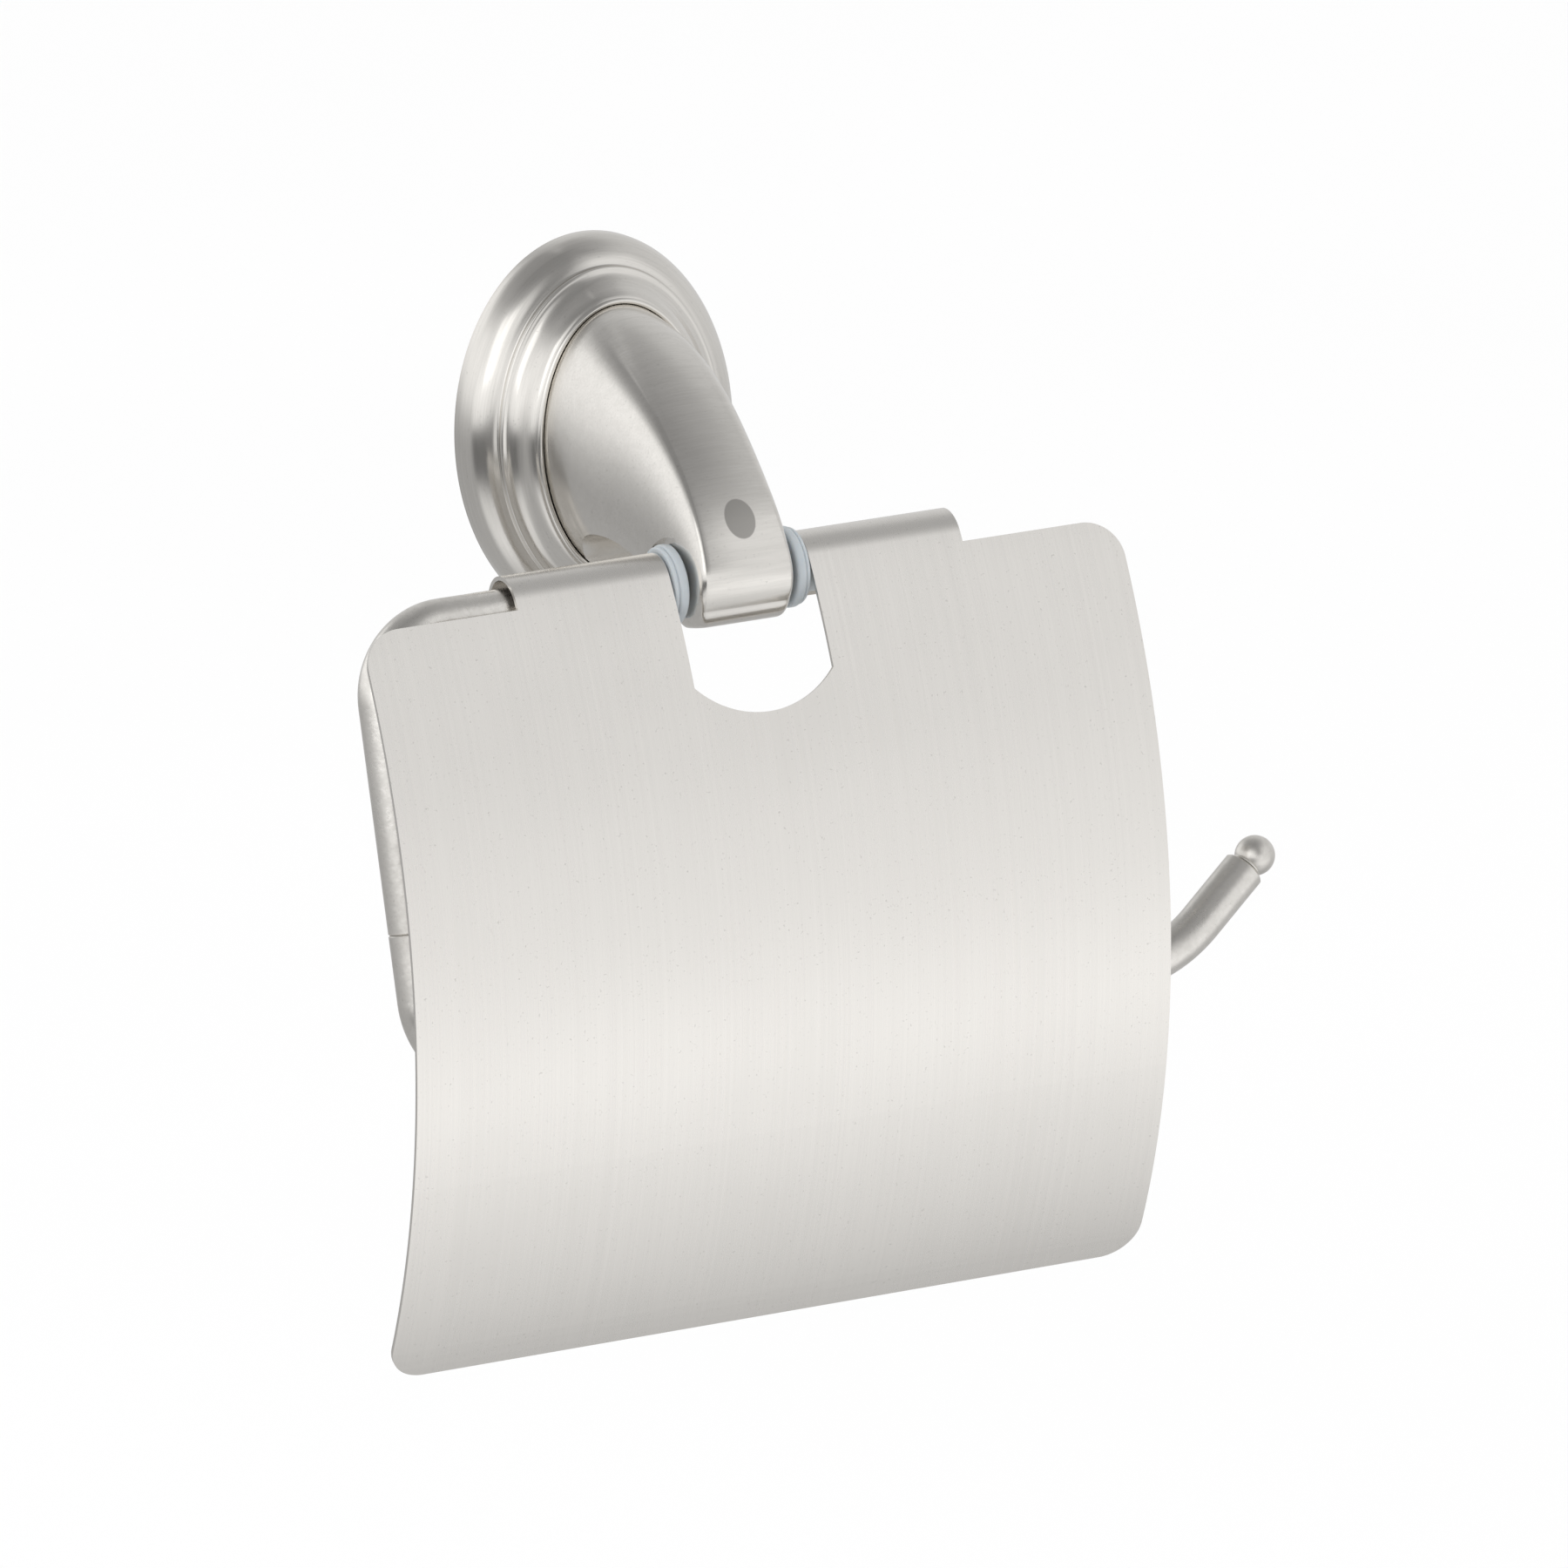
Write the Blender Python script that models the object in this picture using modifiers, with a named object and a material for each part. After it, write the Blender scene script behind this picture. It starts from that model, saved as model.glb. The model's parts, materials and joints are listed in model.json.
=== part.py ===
"""Wall-mounted toilet paper holder with a hinged cover flap.

Frame: +X to the right along the wall, +Y into the wall, +Z up.  The origin is the middle of the
back of the wall bracket, on the wall plane.  F below means the distance out from the wall, so
Y = -F.  Sizes are in millimetres until the last step of each builder.
"""

import math

import bmesh
import bpy
from mathutils import Matrix, Vector

MM = 0.001
GAP = 0.3  # clearance kept between touching pieces

# hinge line of the cover, which is the middle of the upper bar
HINGE_F, HINGE_Z = 47.8, -16.1

# rosette: oval rim and constant-width mouldings, as (inset from the rim, height above the wall)
RIM_A, RIM_B = 24.5, 32.4
ROSETTE_OUTER = (
    (0.0, 0.0), (0.0, 1.3), (0.3, 2.8), (1.1, 4.4), (2.4, 5.9), (4.4, 7.1), (4.7, 7.8), (5.4, 8.25),
    (6.5, 9.1), (7.5, 10.7), (8.5, 12.2), (9.1, 12.7), (9.6, 12.8), (9.95, 12.5),
)
ROSETTE_WELL = 10.1  # inset of the wall round the arm's foot
ROSETTE_FLOOR = 9.9  # height of the floor the arm's foot stands on
ROSETTE_INNER = ((10.9, 8.3), (8.2, 8.3), (7.0, 6.6), (5.4, 5.6), (3.6, 4.6), (2.5, 2.6), (2.3, 0.0))
FLOOR_HOLE_R = 3.4
OVAL_STEPS = 60

# concealed wall bracket
BRACKET_A, BRACKET_B, BRACKET_T = 19.0, 27.0, 3.2
BRACKET_GROOVE = 1.0
WALL_HOLE_Z, WALL_HOLE_R, WALL_HOLE_SLOT = 15.0, 2.6, 3.0

# arm: stations of (top F, top Z, under F, under Z, half width, half width of the front band, crease)
ARM_STATIONS = (
    (12.6, 21.9, 12.8, -21.4, 14.1, 5.6, 0.0),
    (17.3, 21.1, 16.0, -21.2, 14.1, 5.6, 0.25),
    (22.8, 19.0, 19.5, -20.9, 13.8, 5.7, 0.6),
    (29.0, 15.9, 23.5, -20.6, 13.2, 5.8, 0.9),
    (35.8, 11.7, 28.0, -20.4, 12.2, 5.9, 1.0),
    (42.3, 6.6, 32.5, -20.5, 11.2, 6.0, 1.0),
    (48.0, 1.1, 36.5, -20.7, 10.4, 6.2, 1.0),
    (52.4, -4.4, 39.7, -21.0, 9.9, 6.6, 1.0),
    (55.3, -9.8, 41.6, -21.3, 9.7, 7.0, 1.0),
    (56.4, -14.7, 42.5, -21.5, 9.6, 7.3, 1.0),
    (56.2, -18.0, 42.9, -21.6, 9.4, 7.4, 1.0),
    (55.5, -20.4, 43.1, -21.7, 9.0, 7.3, 1.0),
)
ARM_FOOT_A, ARM_FOOT_B = RIM_A - ROSETTE_WELL - GAP, RIM_B - ROSETTE_WELL - GAP
ARM_SUBSTEPS = 2
ARM_END_ROUND = 1.9
# arch across the underside: its middle, its radius and where it starts next to the wall
ARCH_F, ARCH_Z, ARCH_R, ARCH_START_F = 27.3, -30.5, 18.9, 12.7
ARCH_STEPS = 24
CHEEK_X = 9.25

# upper bar and roll bar
ROD_R = 3.4
BAR_END_X = 38.5
LEG_X = -63.1
TOP_BEND_R, LOW_BEND_R, TIP_BEND_R = 12.1, 13.7, 22.2
WIRE_DROP = 73.2
WIRE_TILT = math.radians(10.8)
SEAM_W = 48.4
TIP_BEND_X, TIP_ANGLE, TIP_LENGTH = 60.9, math.radians(39.2), 13.4
STUD_R, STUD_DEPTH = 1.5, 4.0
BALL_R = 3.3

# plastic bushes
BUSH_IN_X, BUSH_OUT_X, BUSH_TUBE_END = 9.6, 12.05, 21.0
BUSH_R, BUSH_TUBE_R = 6.6, 4.5

# cover flap
COVER_HALF = 67.5
SHEET_T = 0.7
CURL_R = 5.5
CURL_IN_X, CURL_OUT_X = 12.4, 39.7
COVER_LEAVE = math.radians(27.2)  # where on the curl the sheet leaves it
COVER_R, COVER_LENGTH = 128.4, 130.6
CURL_END = math.radians(262.0)
SHOULDER_S = 1.6
NOTCH_DEPTH, NOTCH_R = 23.9, 16.85
CORNER_R = 6.5
CURL_STEPS, SHEET_STEPS = 20, 20
COVER_SIDE = -1  # the thickness lies behind the outer face

# screws
GRUB_R, HEX_R = 2.0, 1.1
ROSETTE_GRUB_F = 3.0


def rig():
    for obj in list(bpy.data.objects):
        bpy.data.objects.remove(obj, do_unlink=True)
    made = []
    for name in ("toilet_paper_holder", "cutters"):
        group = bpy.data.collections.new(name)
        bpy.context.scene.collection.children.link(group)
        made.append(group)
    return made


PARTS, CUTTERS = rig()


def material(name, colour, metallic, roughness):
    mat = bpy.data.materials.new(name)
    mat.use_nodes = True
    shader = mat.node_tree.nodes["Principled BSDF"]
    shader.inputs["Base Color"].default_value = (*colour, 1.0)
    shader.inputs["Metallic"].default_value = metallic
    shader.inputs["Roughness"].default_value = roughness
    return mat


NICKEL = (0.72, 0.70, 0.67)
STEEL = (0.55, 0.56, 0.57)
PLASTIC = (0.74, 0.80, 0.84)


def at(x, f, z):
    """A point given by X, distance from the wall and Z, in millimetres."""
    return Vector((x, -f, z)) * MM


def place(name, mesh, colour=NICKEL, metallic=1.0, roughness=0.35):
    obj = bpy.data.objects.new(name, mesh)
    mesh.materials.append(material(name, colour, metallic, roughness))
    PARTS.objects.link(obj)
    return obj


def mesh_from(name, points, faces, smooth=True):
    mesh = bpy.data.meshes.new(name)
    mesh.from_pydata([tuple(p) for p in points], [], faces)
    bm = bmesh.new()
    bm.from_mesh(mesh)
    bmesh.ops.recalc_face_normals(bm, faces=bm.faces)
    for face in bm.faces:
        face.smooth = smooth and len(face.verts) <= 4
    bm.to_mesh(mesh)
    bm.free()
    return mesh


def loft(name, rings, closed=False):
    """Quads between rings of the same count; the ends are capped, or joined when closed."""
    n = len(rings[0])
    points = [p for ring in rings for p in ring]
    faces = []
    spans = len(rings) if closed else len(rings) - 1
    for k in range(spans):
        a, b = k * n, (k + 1) % len(rings) * n
        faces += [(a + i, a + (i + 1) % n, b + (i + 1) % n, b + i) for i in range(n)]
    if not closed:
        faces.append(tuple(range(n)))
        faces.append(tuple(range(len(points) - n, len(points)))[::-1])
    return mesh_from(name, points, faces)


def frame_along(origin, axis):
    """A matrix whose +Z runs along axis from origin."""
    turn = Vector((0, 0, 1)).rotation_difference(Vector(axis).normalized())
    return Matrix.Translation(origin) @ turn.to_matrix().to_4x4()


def cutter(name, mesh, matrix=None):
    obj = bpy.data.objects.new(name, mesh)
    obj.matrix_world = matrix or Matrix.Identity(4)
    CUTTERS.objects.link(obj)
    obj.hide_render = True
    obj.display_type = "WIRE"
    return obj


def drill(name, radius, depth, origin, axis, sides=32):
    """A round cutter of the given depth, starting at origin and running along axis."""
    mesh = bpy.data.meshes.new(name)
    bm = bmesh.new()
    bmesh.ops.create_cone(bm, cap_ends=True, segments=sides, radius1=radius * MM, radius2=radius * MM,
                          depth=depth * MM, matrix=Matrix.Translation((0, 0, depth / 2 * MM)))
    bm.to_mesh(mesh)
    bm.free()
    return cutter(name, mesh, frame_along(origin, axis))


def raised(bm, made, offset):
    """Move the points that an extrusion made by an offset in millimetres."""
    moved = [part for part in made["geom"] if isinstance(part, bmesh.types.BMVert)]
    bmesh.ops.translate(bm, vec=Vector(offset) * MM, verts=moved)


def prism(name, outline, depth, matrix):
    """A cutter from a flat outline in millimetres, running depth along the matrix's Z."""
    bm = bmesh.new()
    face = bm.faces.new([bm.verts.new(Vector((x, y, 0)) * MM) for x, y in outline])
    raised(bm, bmesh.ops.extrude_face_region(bm, geom=[face]), (0, 0, depth))
    bmesh.ops.recalc_face_normals(bm, faces=bm.faces)
    mesh = bpy.data.meshes.new(name)
    bm.to_mesh(mesh)
    bm.free()
    return cutter(name, mesh, matrix)


def cut(obj, *cutters):
    for tool in cutters:
        mod = obj.modifiers.new(tool.name, "BOOLEAN")
        mod.operation = "DIFFERENCE"
        mod.solver = "EXACT"
        mod.object = tool
    return obj


def turned_part(name, profile, origin, axis, steps=32, closed=False, **look):
    """A piece turned about axis from (radius, height) points that run up its outer side."""
    points = [(radius * MM, 0, height * MM) for radius, height in reversed(profile)]
    edges = [(i, i + 1) for i in range(len(points) - 1)]
    if closed:
        edges.append((len(points) - 1, 0))
    mesh = bpy.data.meshes.new(name)
    mesh.from_pydata(points, edges, [])
    obj = place(name, mesh, **look)
    obj.matrix_world = frame_along(origin, axis)
    screw = obj.modifiers.new("turn", "SCREW")
    screw.steps = screw.render_steps = steps
    screw.use_merge_vertices = True
    screw.merge_threshold = 1e-6
    return obj


def oval(a, b, f, n=OVAL_STEPS):
    return [at(a * math.cos(t), f, b * math.sin(t)) for t in (2 * math.pi * i / n for i in range(n))]


# ---------------------------------------------------------------- wall side


def rosette():
    rings = [oval(RIM_A - i, RIM_B - i, f) for i, f in ROSETTE_OUTER]
    rings += [oval(RIM_A - ROSETTE_WELL, RIM_B - ROSETTE_WELL, f) for f in (12.1, ROSETTE_FLOOR)]
    rings += [oval(FLOOR_HOLE_R, FLOOR_HOLE_R, f) for f in (ROSETTE_FLOOR, ROSETTE_INNER[0][1])]
    rings += [oval(RIM_A - i, RIM_B - i, f) for i, f in ROSETTE_INNER]
    obj = place("rosette", loft("rosette", rings, closed=True))
    hole = drill("rosette_grub_hole", GRUB_R + GAP, 6.0, at(0, ROSETTE_GRUB_F, -RIM_B - 1.5), (0, 0, 1), 24)
    return cut(obj, hole)


def wall_bracket():
    heights = ((0.0, 0.4), (0.4, 0.0), (1.6, 0.0), (2.0, BRACKET_GROOVE), (BRACKET_T - 0.2, BRACKET_GROOVE),
               (BRACKET_T, 0.0), (BRACKET_T + 0.8, 0.0), (BRACKET_T + 1.2, 0.4))
    rings = [oval(BRACKET_A - i, BRACKET_B - i, f, 48) for f, i in heights]
    obj = place("wall_bracket", loft("wall_bracket", rings), STEEL, 1.0, 0.45)
    well = loft("bracket_well", [oval(BRACKET_A - i, BRACKET_B - i, f, 48) for i, f in ((3.2, 2.2), (2.6, 6.0))])
    tools = [cutter("bracket_well", well)]
    for side in (1, -1):
        outline = []
        for i in range(24):
            t = 2 * math.pi * i / 24
            outline.append((WALL_HOLE_R * math.cos(t) + math.copysign(WALL_HOLE_SLOT / 2, math.cos(t)),
                            WALL_HOLE_R * math.sin(t)))
        flat = Matrix.Translation(at(0, -1.0, side * WALL_HOLE_Z)) @ Matrix.Rotation(math.pi / 2, 4, "X")
        tools.append(prism("bracket_slot_%s" % ("upper" if side > 0 else "lower"), outline, 6.0, flat))
    return cut(obj, *tools)


def grub(name, length, origin, axis):
    """A socket set screw whose socket is at origin and whose cup point runs along axis."""
    profile = ((0, 0), (GRUB_R - 0.3, 0), (GRUB_R, 0.3), (GRUB_R, length - 0.6), (GRUB_R - 0.7, length),
               (0, length - 0.25))
    obj = turned_part(name, profile, origin, axis, 28, colour=STEEL, roughness=0.4)
    direction = Vector(axis).normalized()
    socket = drill(name + "_hex", HEX_R, 1.7, Vector(origin) - direction * 0.5 * MM, axis, 6)
    return cut(obj, socket)


def arm_screw():
    """The screw that draws the arm's foot onto the rosette floor, driven from the wall side."""
    under = ROSETTE_INNER[0][1] - GAP
    profile = ((0, -3.6), (3.6, -3.6), (4.6, -2.6), (4.8, -0.2), (4.6, 0), (2.9, 0), (2.9, 12.2), (2.3, 12.9),
               (0, 12.9))
    obj = turned_part("arm_screw", profile, at(0, under, 0), (0, -1, 0), 32, colour=STEEL, roughness=0.4)
    socket = drill("arm_screw_hex", 2.3, 2.4, at(0, under - 4.1, 0), (0, -1, 0), 6)
    return cut(obj, socket)


# ---------------------------------------------------------------- arm


def blend_row(rows, k, u):
    """Catmull-Rom value between rows k and k + 1."""
    p = [rows[min(max(k + i, 0), len(rows) - 1)] for i in (-1, 0, 1, 2)]
    out = []
    for a, b, c, d in zip(*p):
        out.append(0.5 * (2 * b + (c - a) * u + (2 * a - 5 * b + 4 * c - d) * u * u
                          + (3 * b - a - 3 * c + d) * u ** 3))
    return out


def arm_outline(half, band, crease):
    """Right half of a section, front to back, as (x, v) with v from 1 at the front to -1."""
    edge = 0.955
    points = []
    for i in range(4):
        x = band * i / 3
        flat = 1 - (1 - edge) * (i / 3) ** 2
        points.append((x, x, flat, math.sqrt(1 - (x / half) ** 2)))
    for i in range(1, 7):
        t = math.pi / 2 * i / 6
        x = band + (half - band) * math.sin(t)
        points.append((x, x, (edge + 0.15) * math.cos(t) ** 1.3 - 0.15, math.sqrt(max(0.0, 1 - (x / half) ** 2))))
    for i in range(1, 7):
        t = math.pi / 2 * i / 6
        x = half * math.cos(t)
        points.append((half * math.cos(t) ** 0.8, x, -0.15 - 0.85 * math.sin(t), -math.sin(t)))
    return [(crease * a + (1 - crease) * b, crease * c + (1 - crease) * d) for a, b, c, d in points]


def arm_ring(row, shrink=0.0, drop=0.0):
    top, under = Vector((row[0], row[1])), Vector((row[2], row[3]))
    middle, reach = (top + under) / 2, (top - under) / 2
    down = Vector((reach.y, -reach.x)).normalized() * drop
    half = row[4]
    size = reach.length
    points = []
    outline = arm_outline(half, row[5], row[6])
    full = outline + [(-x, v) for x, v in outline[-2:0:-1]]
    for x, v in full:
        spot = middle + reach * v * (size - shrink) / size + down
        points.append(at(x * (half - shrink) / half, spot.x, spot.y))
    return points


def arm_arch():
    """The cutter for the arch under the arm, drawn in the F and Z plane and run across X."""
    start = math.acos((ARCH_START_F - ARCH_F) / ARCH_R)
    outline = [(ARCH_START_F, ARCH_Z)]
    for i in range(ARCH_STEPS + 1):
        t = start * (1 - i / ARCH_STEPS)
        outline.append((ARCH_F + ARCH_R * math.cos(t), ARCH_Z + ARCH_R * math.sin(t)))
    across = Matrix(((0, 0, -1, 0.020), (-1, 0, 0, 0), (0, 1, 0, 0), (0, 0, 0, 1)))
    return prism("arm_arch", outline, 40.0, across)


def arm():
    foot = (0.0, ARM_FOOT_B, 0.0, -ARM_FOOT_B, ARM_FOOT_A, 5.6, 0.0)
    rings = []
    for f in (ROSETTE_FLOOR + GAP, 12.2):
        rings.append(arm_ring((f, foot[1], f, foot[3], *foot[4:])))
    for k in range(len(ARM_STATIONS) - 1):
        for j in range(ARM_SUBSTEPS):
            rings.append(arm_ring(blend_row(ARM_STATIONS, k, j / ARM_SUBSTEPS)))
    last = ARM_STATIONS[-1]
    for i in range(5):
        t = math.pi / 2 * i / 4
        rings.append(arm_ring(last, ARM_END_ROUND * (1 - math.cos(t)), ARM_END_ROUND * math.sin(t)))
    obj = place("arm", loft("arm", rings))
    hinge = HINGE_F, HINGE_Z
    tools = [drill("arm_bore", ROD_R + GAP, 40.0, at(-20, *hinge), (1, 0, 0), 28)]
    for side in (-1, 1):
        tools.append(drill("arm_cheek_%s" % ("left" if side < 0 else "right"), BUSH_R + 0.9, 8.0,
                           at(side * CHEEK_X, *hinge), (side, 0, 0), 40))
    tools.append(arm_arch())
    tools.append(drill("arm_tap", 3.2, 13.0, at(0, 9.0, 0), (0, -1, 0), 32))
    tools.append(drill("arm_grub_hole", GRUB_R + GAP, 6.0, at(0, HINGE_F, -25.0), (0, 0, 1), 24))
    return cut(obj, *tools)


# ---------------------------------------------------------------- bars


def wire_point(x, w):
    """A point of the plane the wire is bent in: x along the hinge line, w down the tilted plane."""
    return at(x, HINGE_F + w * math.sin(WIRE_TILT), HINGE_Z - w * math.cos(WIRE_TILT))


def arc(cx, cw, radius, start, end, count):
    """Points (x, w) on a bend, angles in radians from +x towards +w."""
    span = [start + (end - start) * i / count for i in range(count + 1)]
    return [(cx + radius * math.cos(t), cw + radius * math.sin(t)) for t in span]


def rod(name, route):
    """A round bar along a route of (x, w) points."""
    curve = bpy.data.curves.new(name, "CURVE")
    curve.dimensions = "3D"
    curve.bevel_depth = ROD_R * MM
    curve.bevel_resolution = 4
    curve.use_fill_caps = True
    spline = curve.splines.new("POLY")
    spline.points.add(len(route) - 1)
    for point, (x, w) in zip(spline.points, route):
        point.co = (*wire_point(x, w), 1.0)
    carrier = bpy.data.objects.new(name + "_route", curve)
    CUTTERS.objects.link(carrier)
    graph = bpy.context.evaluated_depsgraph_get()
    mesh = bpy.data.meshes.new_from_object(carrier.evaluated_get(graph), depsgraph=graph)
    bpy.data.objects.remove(carrier, do_unlink=True)
    bm = bmesh.new()
    bm.from_mesh(mesh)
    bmesh.ops.remove_doubles(bm, verts=bm.verts, dist=1e-6)
    bmesh.ops.recalc_face_normals(bm, faces=bm.faces)
    for face in bm.faces:
        face.smooth = len(face.verts) <= 4
    bm.to_mesh(mesh)
    bm.free()
    mesh.materials.clear()
    mesh.name = name
    return place(name, mesh)


def end_of(route):
    """End point of a route and the direction in which the bar leaves it."""
    last, before = wire_point(*route[-1]), wire_point(*route[-2])
    return last, (last - before).normalized()


def hanger_bar():
    route = [(BAR_END_X, 0.0), (20.0, 0.0), (0.0, 0.0), (-25.0, 0.0)]
    route += arc(LEG_X + TOP_BEND_R, TOP_BEND_R, TOP_BEND_R, -math.pi / 2, -math.pi, 10)
    route += [(LEG_X, 32.0), (LEG_X, SEAM_W)]
    obj = rod("hanger_bar", route)
    end, away = end_of(route)
    return cut(obj, drill("hanger_bar_tap", STUD_R + GAP, 6.0, end - away * 4.4 * MM, away, 24))


def roll_bar_route():
    route = [(LEG_X, SEAM_W + GAP), (LEG_X, WIRE_DROP - LOW_BEND_R - 3.0)]
    route += arc(LEG_X + LOW_BEND_R, WIRE_DROP - LOW_BEND_R, LOW_BEND_R, math.pi, math.pi / 2, 10)
    route += [(-20.0, WIRE_DROP), (20.0, WIRE_DROP)]
    route += arc(TIP_BEND_X, WIRE_DROP - TIP_BEND_R, TIP_BEND_R, math.pi / 2, math.pi / 2 - TIP_ANGLE, 8)
    x, w = route[-1]
    route.append((x + TIP_LENGTH * math.cos(TIP_ANGLE), w - TIP_LENGTH * math.sin(TIP_ANGLE)))
    return route


def roll_bar():
    route = roll_bar_route()
    obj = rod("roll_bar", route)
    end, away = end_of(route)
    start, back = end_of(route[1::-1])
    return cut(obj, drill("roll_bar_tap", STUD_R + GAP, 6.0, start - back * 4.4 * MM, back, 24),
               drill("roll_bar_socket", STUD_R + GAP, 6.0, end - away * 4.4 * MM, away, 24))


def leg_stud():
    """The threaded stud that joins the roll bar to the leg of the hanger bar."""
    middle = wire_point(LEG_X, SEAM_W + GAP / 2)
    along = wire_point(LEG_X, SEAM_W + 10) - wire_point(LEG_X, SEAM_W)
    profile = ((0, -STUD_DEPTH), (STUD_R - 0.3, -STUD_DEPTH), (STUD_R, -STUD_DEPTH + 0.4),
               (STUD_R, STUD_DEPTH - 0.4), (STUD_R - 0.3, STUD_DEPTH), (0, STUD_DEPTH))
    return turned_part("leg_stud", profile, middle, along, 24, colour=STEEL, roughness=0.4)


def ball_tip():
    """The ball on the end of the roll bar, with a collar and a stem pressed into the bar."""
    end, away = end_of(roll_bar_route())
    centre = 2.75
    profile = [(0, -3.8), (STUD_R - 0.3, -3.8), (STUD_R, -3.4), (STUD_R, GAP), (2.5, GAP), (2.6, GAP + 0.15)]
    start = math.asin((GAP + 0.55 - centre) / BALL_R)
    for i in range(13):
        t = start + (math.pi / 2 - start) * i / 13
        profile.append((BALL_R * math.cos(t), centre + BALL_R * math.sin(t)))
    profile.append((0, centre + BALL_R))
    return turned_part("ball_tip", profile, end, away, 32)


# ---------------------------------------------------------------- bushes


def bush(name, side):
    """A flanged plastic sleeve round the bar, between the arm's cheek and one curl."""
    bore = ROD_R + GAP
    outline = ((bore, BUSH_IN_X + 0.15), (bore + 0.15, BUSH_IN_X), (BUSH_R - 0.5, BUSH_IN_X),
               (BUSH_R - 0.12, BUSH_IN_X + 0.15), (BUSH_R, BUSH_IN_X + 0.5), (BUSH_R, BUSH_IN_X + 1.35),
               (BUSH_R - 0.15, BUSH_IN_X + 1.65), (BUSH_R - 0.4, BUSH_IN_X + 1.75),
               (BUSH_R - 0.35, BUSH_IN_X + 2.1), (BUSH_R - 0.55, BUSH_OUT_X), (BUSH_TUBE_R, BUSH_OUT_X),
               (BUSH_TUBE_R, BUSH_TUBE_END - 0.4), (BUSH_TUBE_R - 0.3, BUSH_TUBE_END), (bore, BUSH_TUBE_END))
    return turned_part(name, outline, at(0, HINGE_F, HINGE_Z), (side, 0, 0), 28, closed=True,
                       colour=PLASTIC, metallic=0.0, roughness=0.4)


# ---------------------------------------------------------------- cover


def cover_spot(s, depth=0.0):
    """(F, Z) on the cover relative to the hinge, s along the sheet, depth in from its outer face."""
    turn = COVER_LEAVE - s / COVER_R
    f = (CURL_R - COVER_R) * math.cos(COVER_LEAVE) + (COVER_R - depth) * math.cos(turn)
    z = (CURL_R - COVER_R) * math.sin(COVER_LEAVE) + (COVER_R - depth) * math.sin(turn)
    return f, z


def cover_plane(s):
    """A matrix at s on the cover: X across, Y up along the sheet, Z out of its face."""
    turn = COVER_LEAVE - s / COVER_R
    f, z = cover_spot(s)
    out = Vector((0, -math.cos(turn), math.sin(turn)))
    up = Vector((0, math.sin(turn), math.cos(turn)))
    basis = Matrix((Vector((1, 0, 0)), up, out)).transposed().to_4x4()
    return Matrix.Translation(Vector((0, -f, z)) * MM) @ basis


def cover_tools():
    """Cutters that shape the rolled blank, in the cover's own frame."""
    tools = []
    top = cover_plane(SHOULDER_S)
    for name, x0, x1 in (("left", -80, -CURL_OUT_X), ("right", CURL_OUT_X, 80)):
        tools.append(prism("cover_shoulder_" + name, ((x0, 0), (x1, 0), (x1, 30), (x0, 30)), 60.0,
                           top @ Matrix.Translation((0, 0, -0.040))))
        flat = Matrix.Translation((0, 0, -0.010))
        tools.append(prism("cover_curl_end_" + name, ((x0, -4), (x1, -4), (x1, 10), (x0, 10)), 12.0, flat))
    # the notch: straight sides down to an arc
    half = CURL_IN_X
    notch = cover_plane(NOTCH_DEPTH - 4)
    outline = [(-half, 60.0)]
    for i in range(17):
        t = math.asin(half / NOTCH_R) * (i / 8 - 1)
        outline.append((NOTCH_R * math.sin(t), -4 + NOTCH_R * (1 - math.cos(t))))
    outline.append((half, 60.0))
    tools.append(prism("cover_notch", outline, 80.0, notch @ Matrix.Translation((0, 0, -0.050))))
    # rounded corners: a square less a quarter circle at each
    for end, s in (("top", SHOULDER_S), ("foot", COVER_LENGTH)):
        up = 1 if end == "top" else -1
        for name, side in (("left", -1), ("right", 1)):
            corner = [(side * (COVER_HALF + 1), up * 1.0)]
            cx, cy = COVER_HALF - CORNER_R, -CORNER_R
            corner.append((side * (COVER_HALF + 1), up * cy))
            for i in range(11):
                t = math.pi / 2 * i / 10
                corner.append((side * (cx + CORNER_R * math.cos(t)), up * (cy + CORNER_R * math.sin(t))))
            corner.append((side * cx, up * 1.0))
            plane = cover_plane(s) @ Matrix.Translation((0, 0, -0.006))
            tools.append(prism("cover_corner_%s_%s" % (end, name), corner, 12.0, plane))
    return tools


def cover_flap():
    """Sheet rolled round the bar at the top; its origin is on the hinge line."""
    line = []
    for i in range(CURL_STEPS + 1):
        t = CURL_END + (COVER_LEAVE - CURL_END) * i / CURL_STEPS
        line.append((CURL_R * math.cos(t), CURL_R * math.sin(t)))
    line += [cover_spot(COVER_LENGTH * i / SHEET_STEPS) for i in range(1, SHEET_STEPS + 1)]
    bm = bmesh.new()
    verts = [bm.verts.new(at(COVER_HALF, f, z)) for f, z in line]
    edges = [bm.edges.new(pair) for pair in zip(verts, verts[1:])]
    raised(bm, bmesh.ops.extrude_edge_only(bm, edges=edges), (-2 * COVER_HALF, 0, 0))
    for face in bm.faces:
        face.smooth = True
    mesh = bpy.data.meshes.new("cover_flap")
    bm.to_mesh(mesh)
    bm.free()
    obj = place("cover_flap", mesh)
    sheet = obj.modifiers.new("sheet", "SOLIDIFY")
    sheet.thickness, sheet.offset, sheet.use_even_offset = SHEET_T * MM, COVER_SIDE, True
    hinge = Matrix.Translation(at(0, HINGE_F, HINGE_Z))
    obj.matrix_world = hinge
    tools = cover_tools()
    for tool in tools:
        tool.matrix_world = hinge @ tool.matrix_world
    return cut(obj, *tools)


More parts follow.
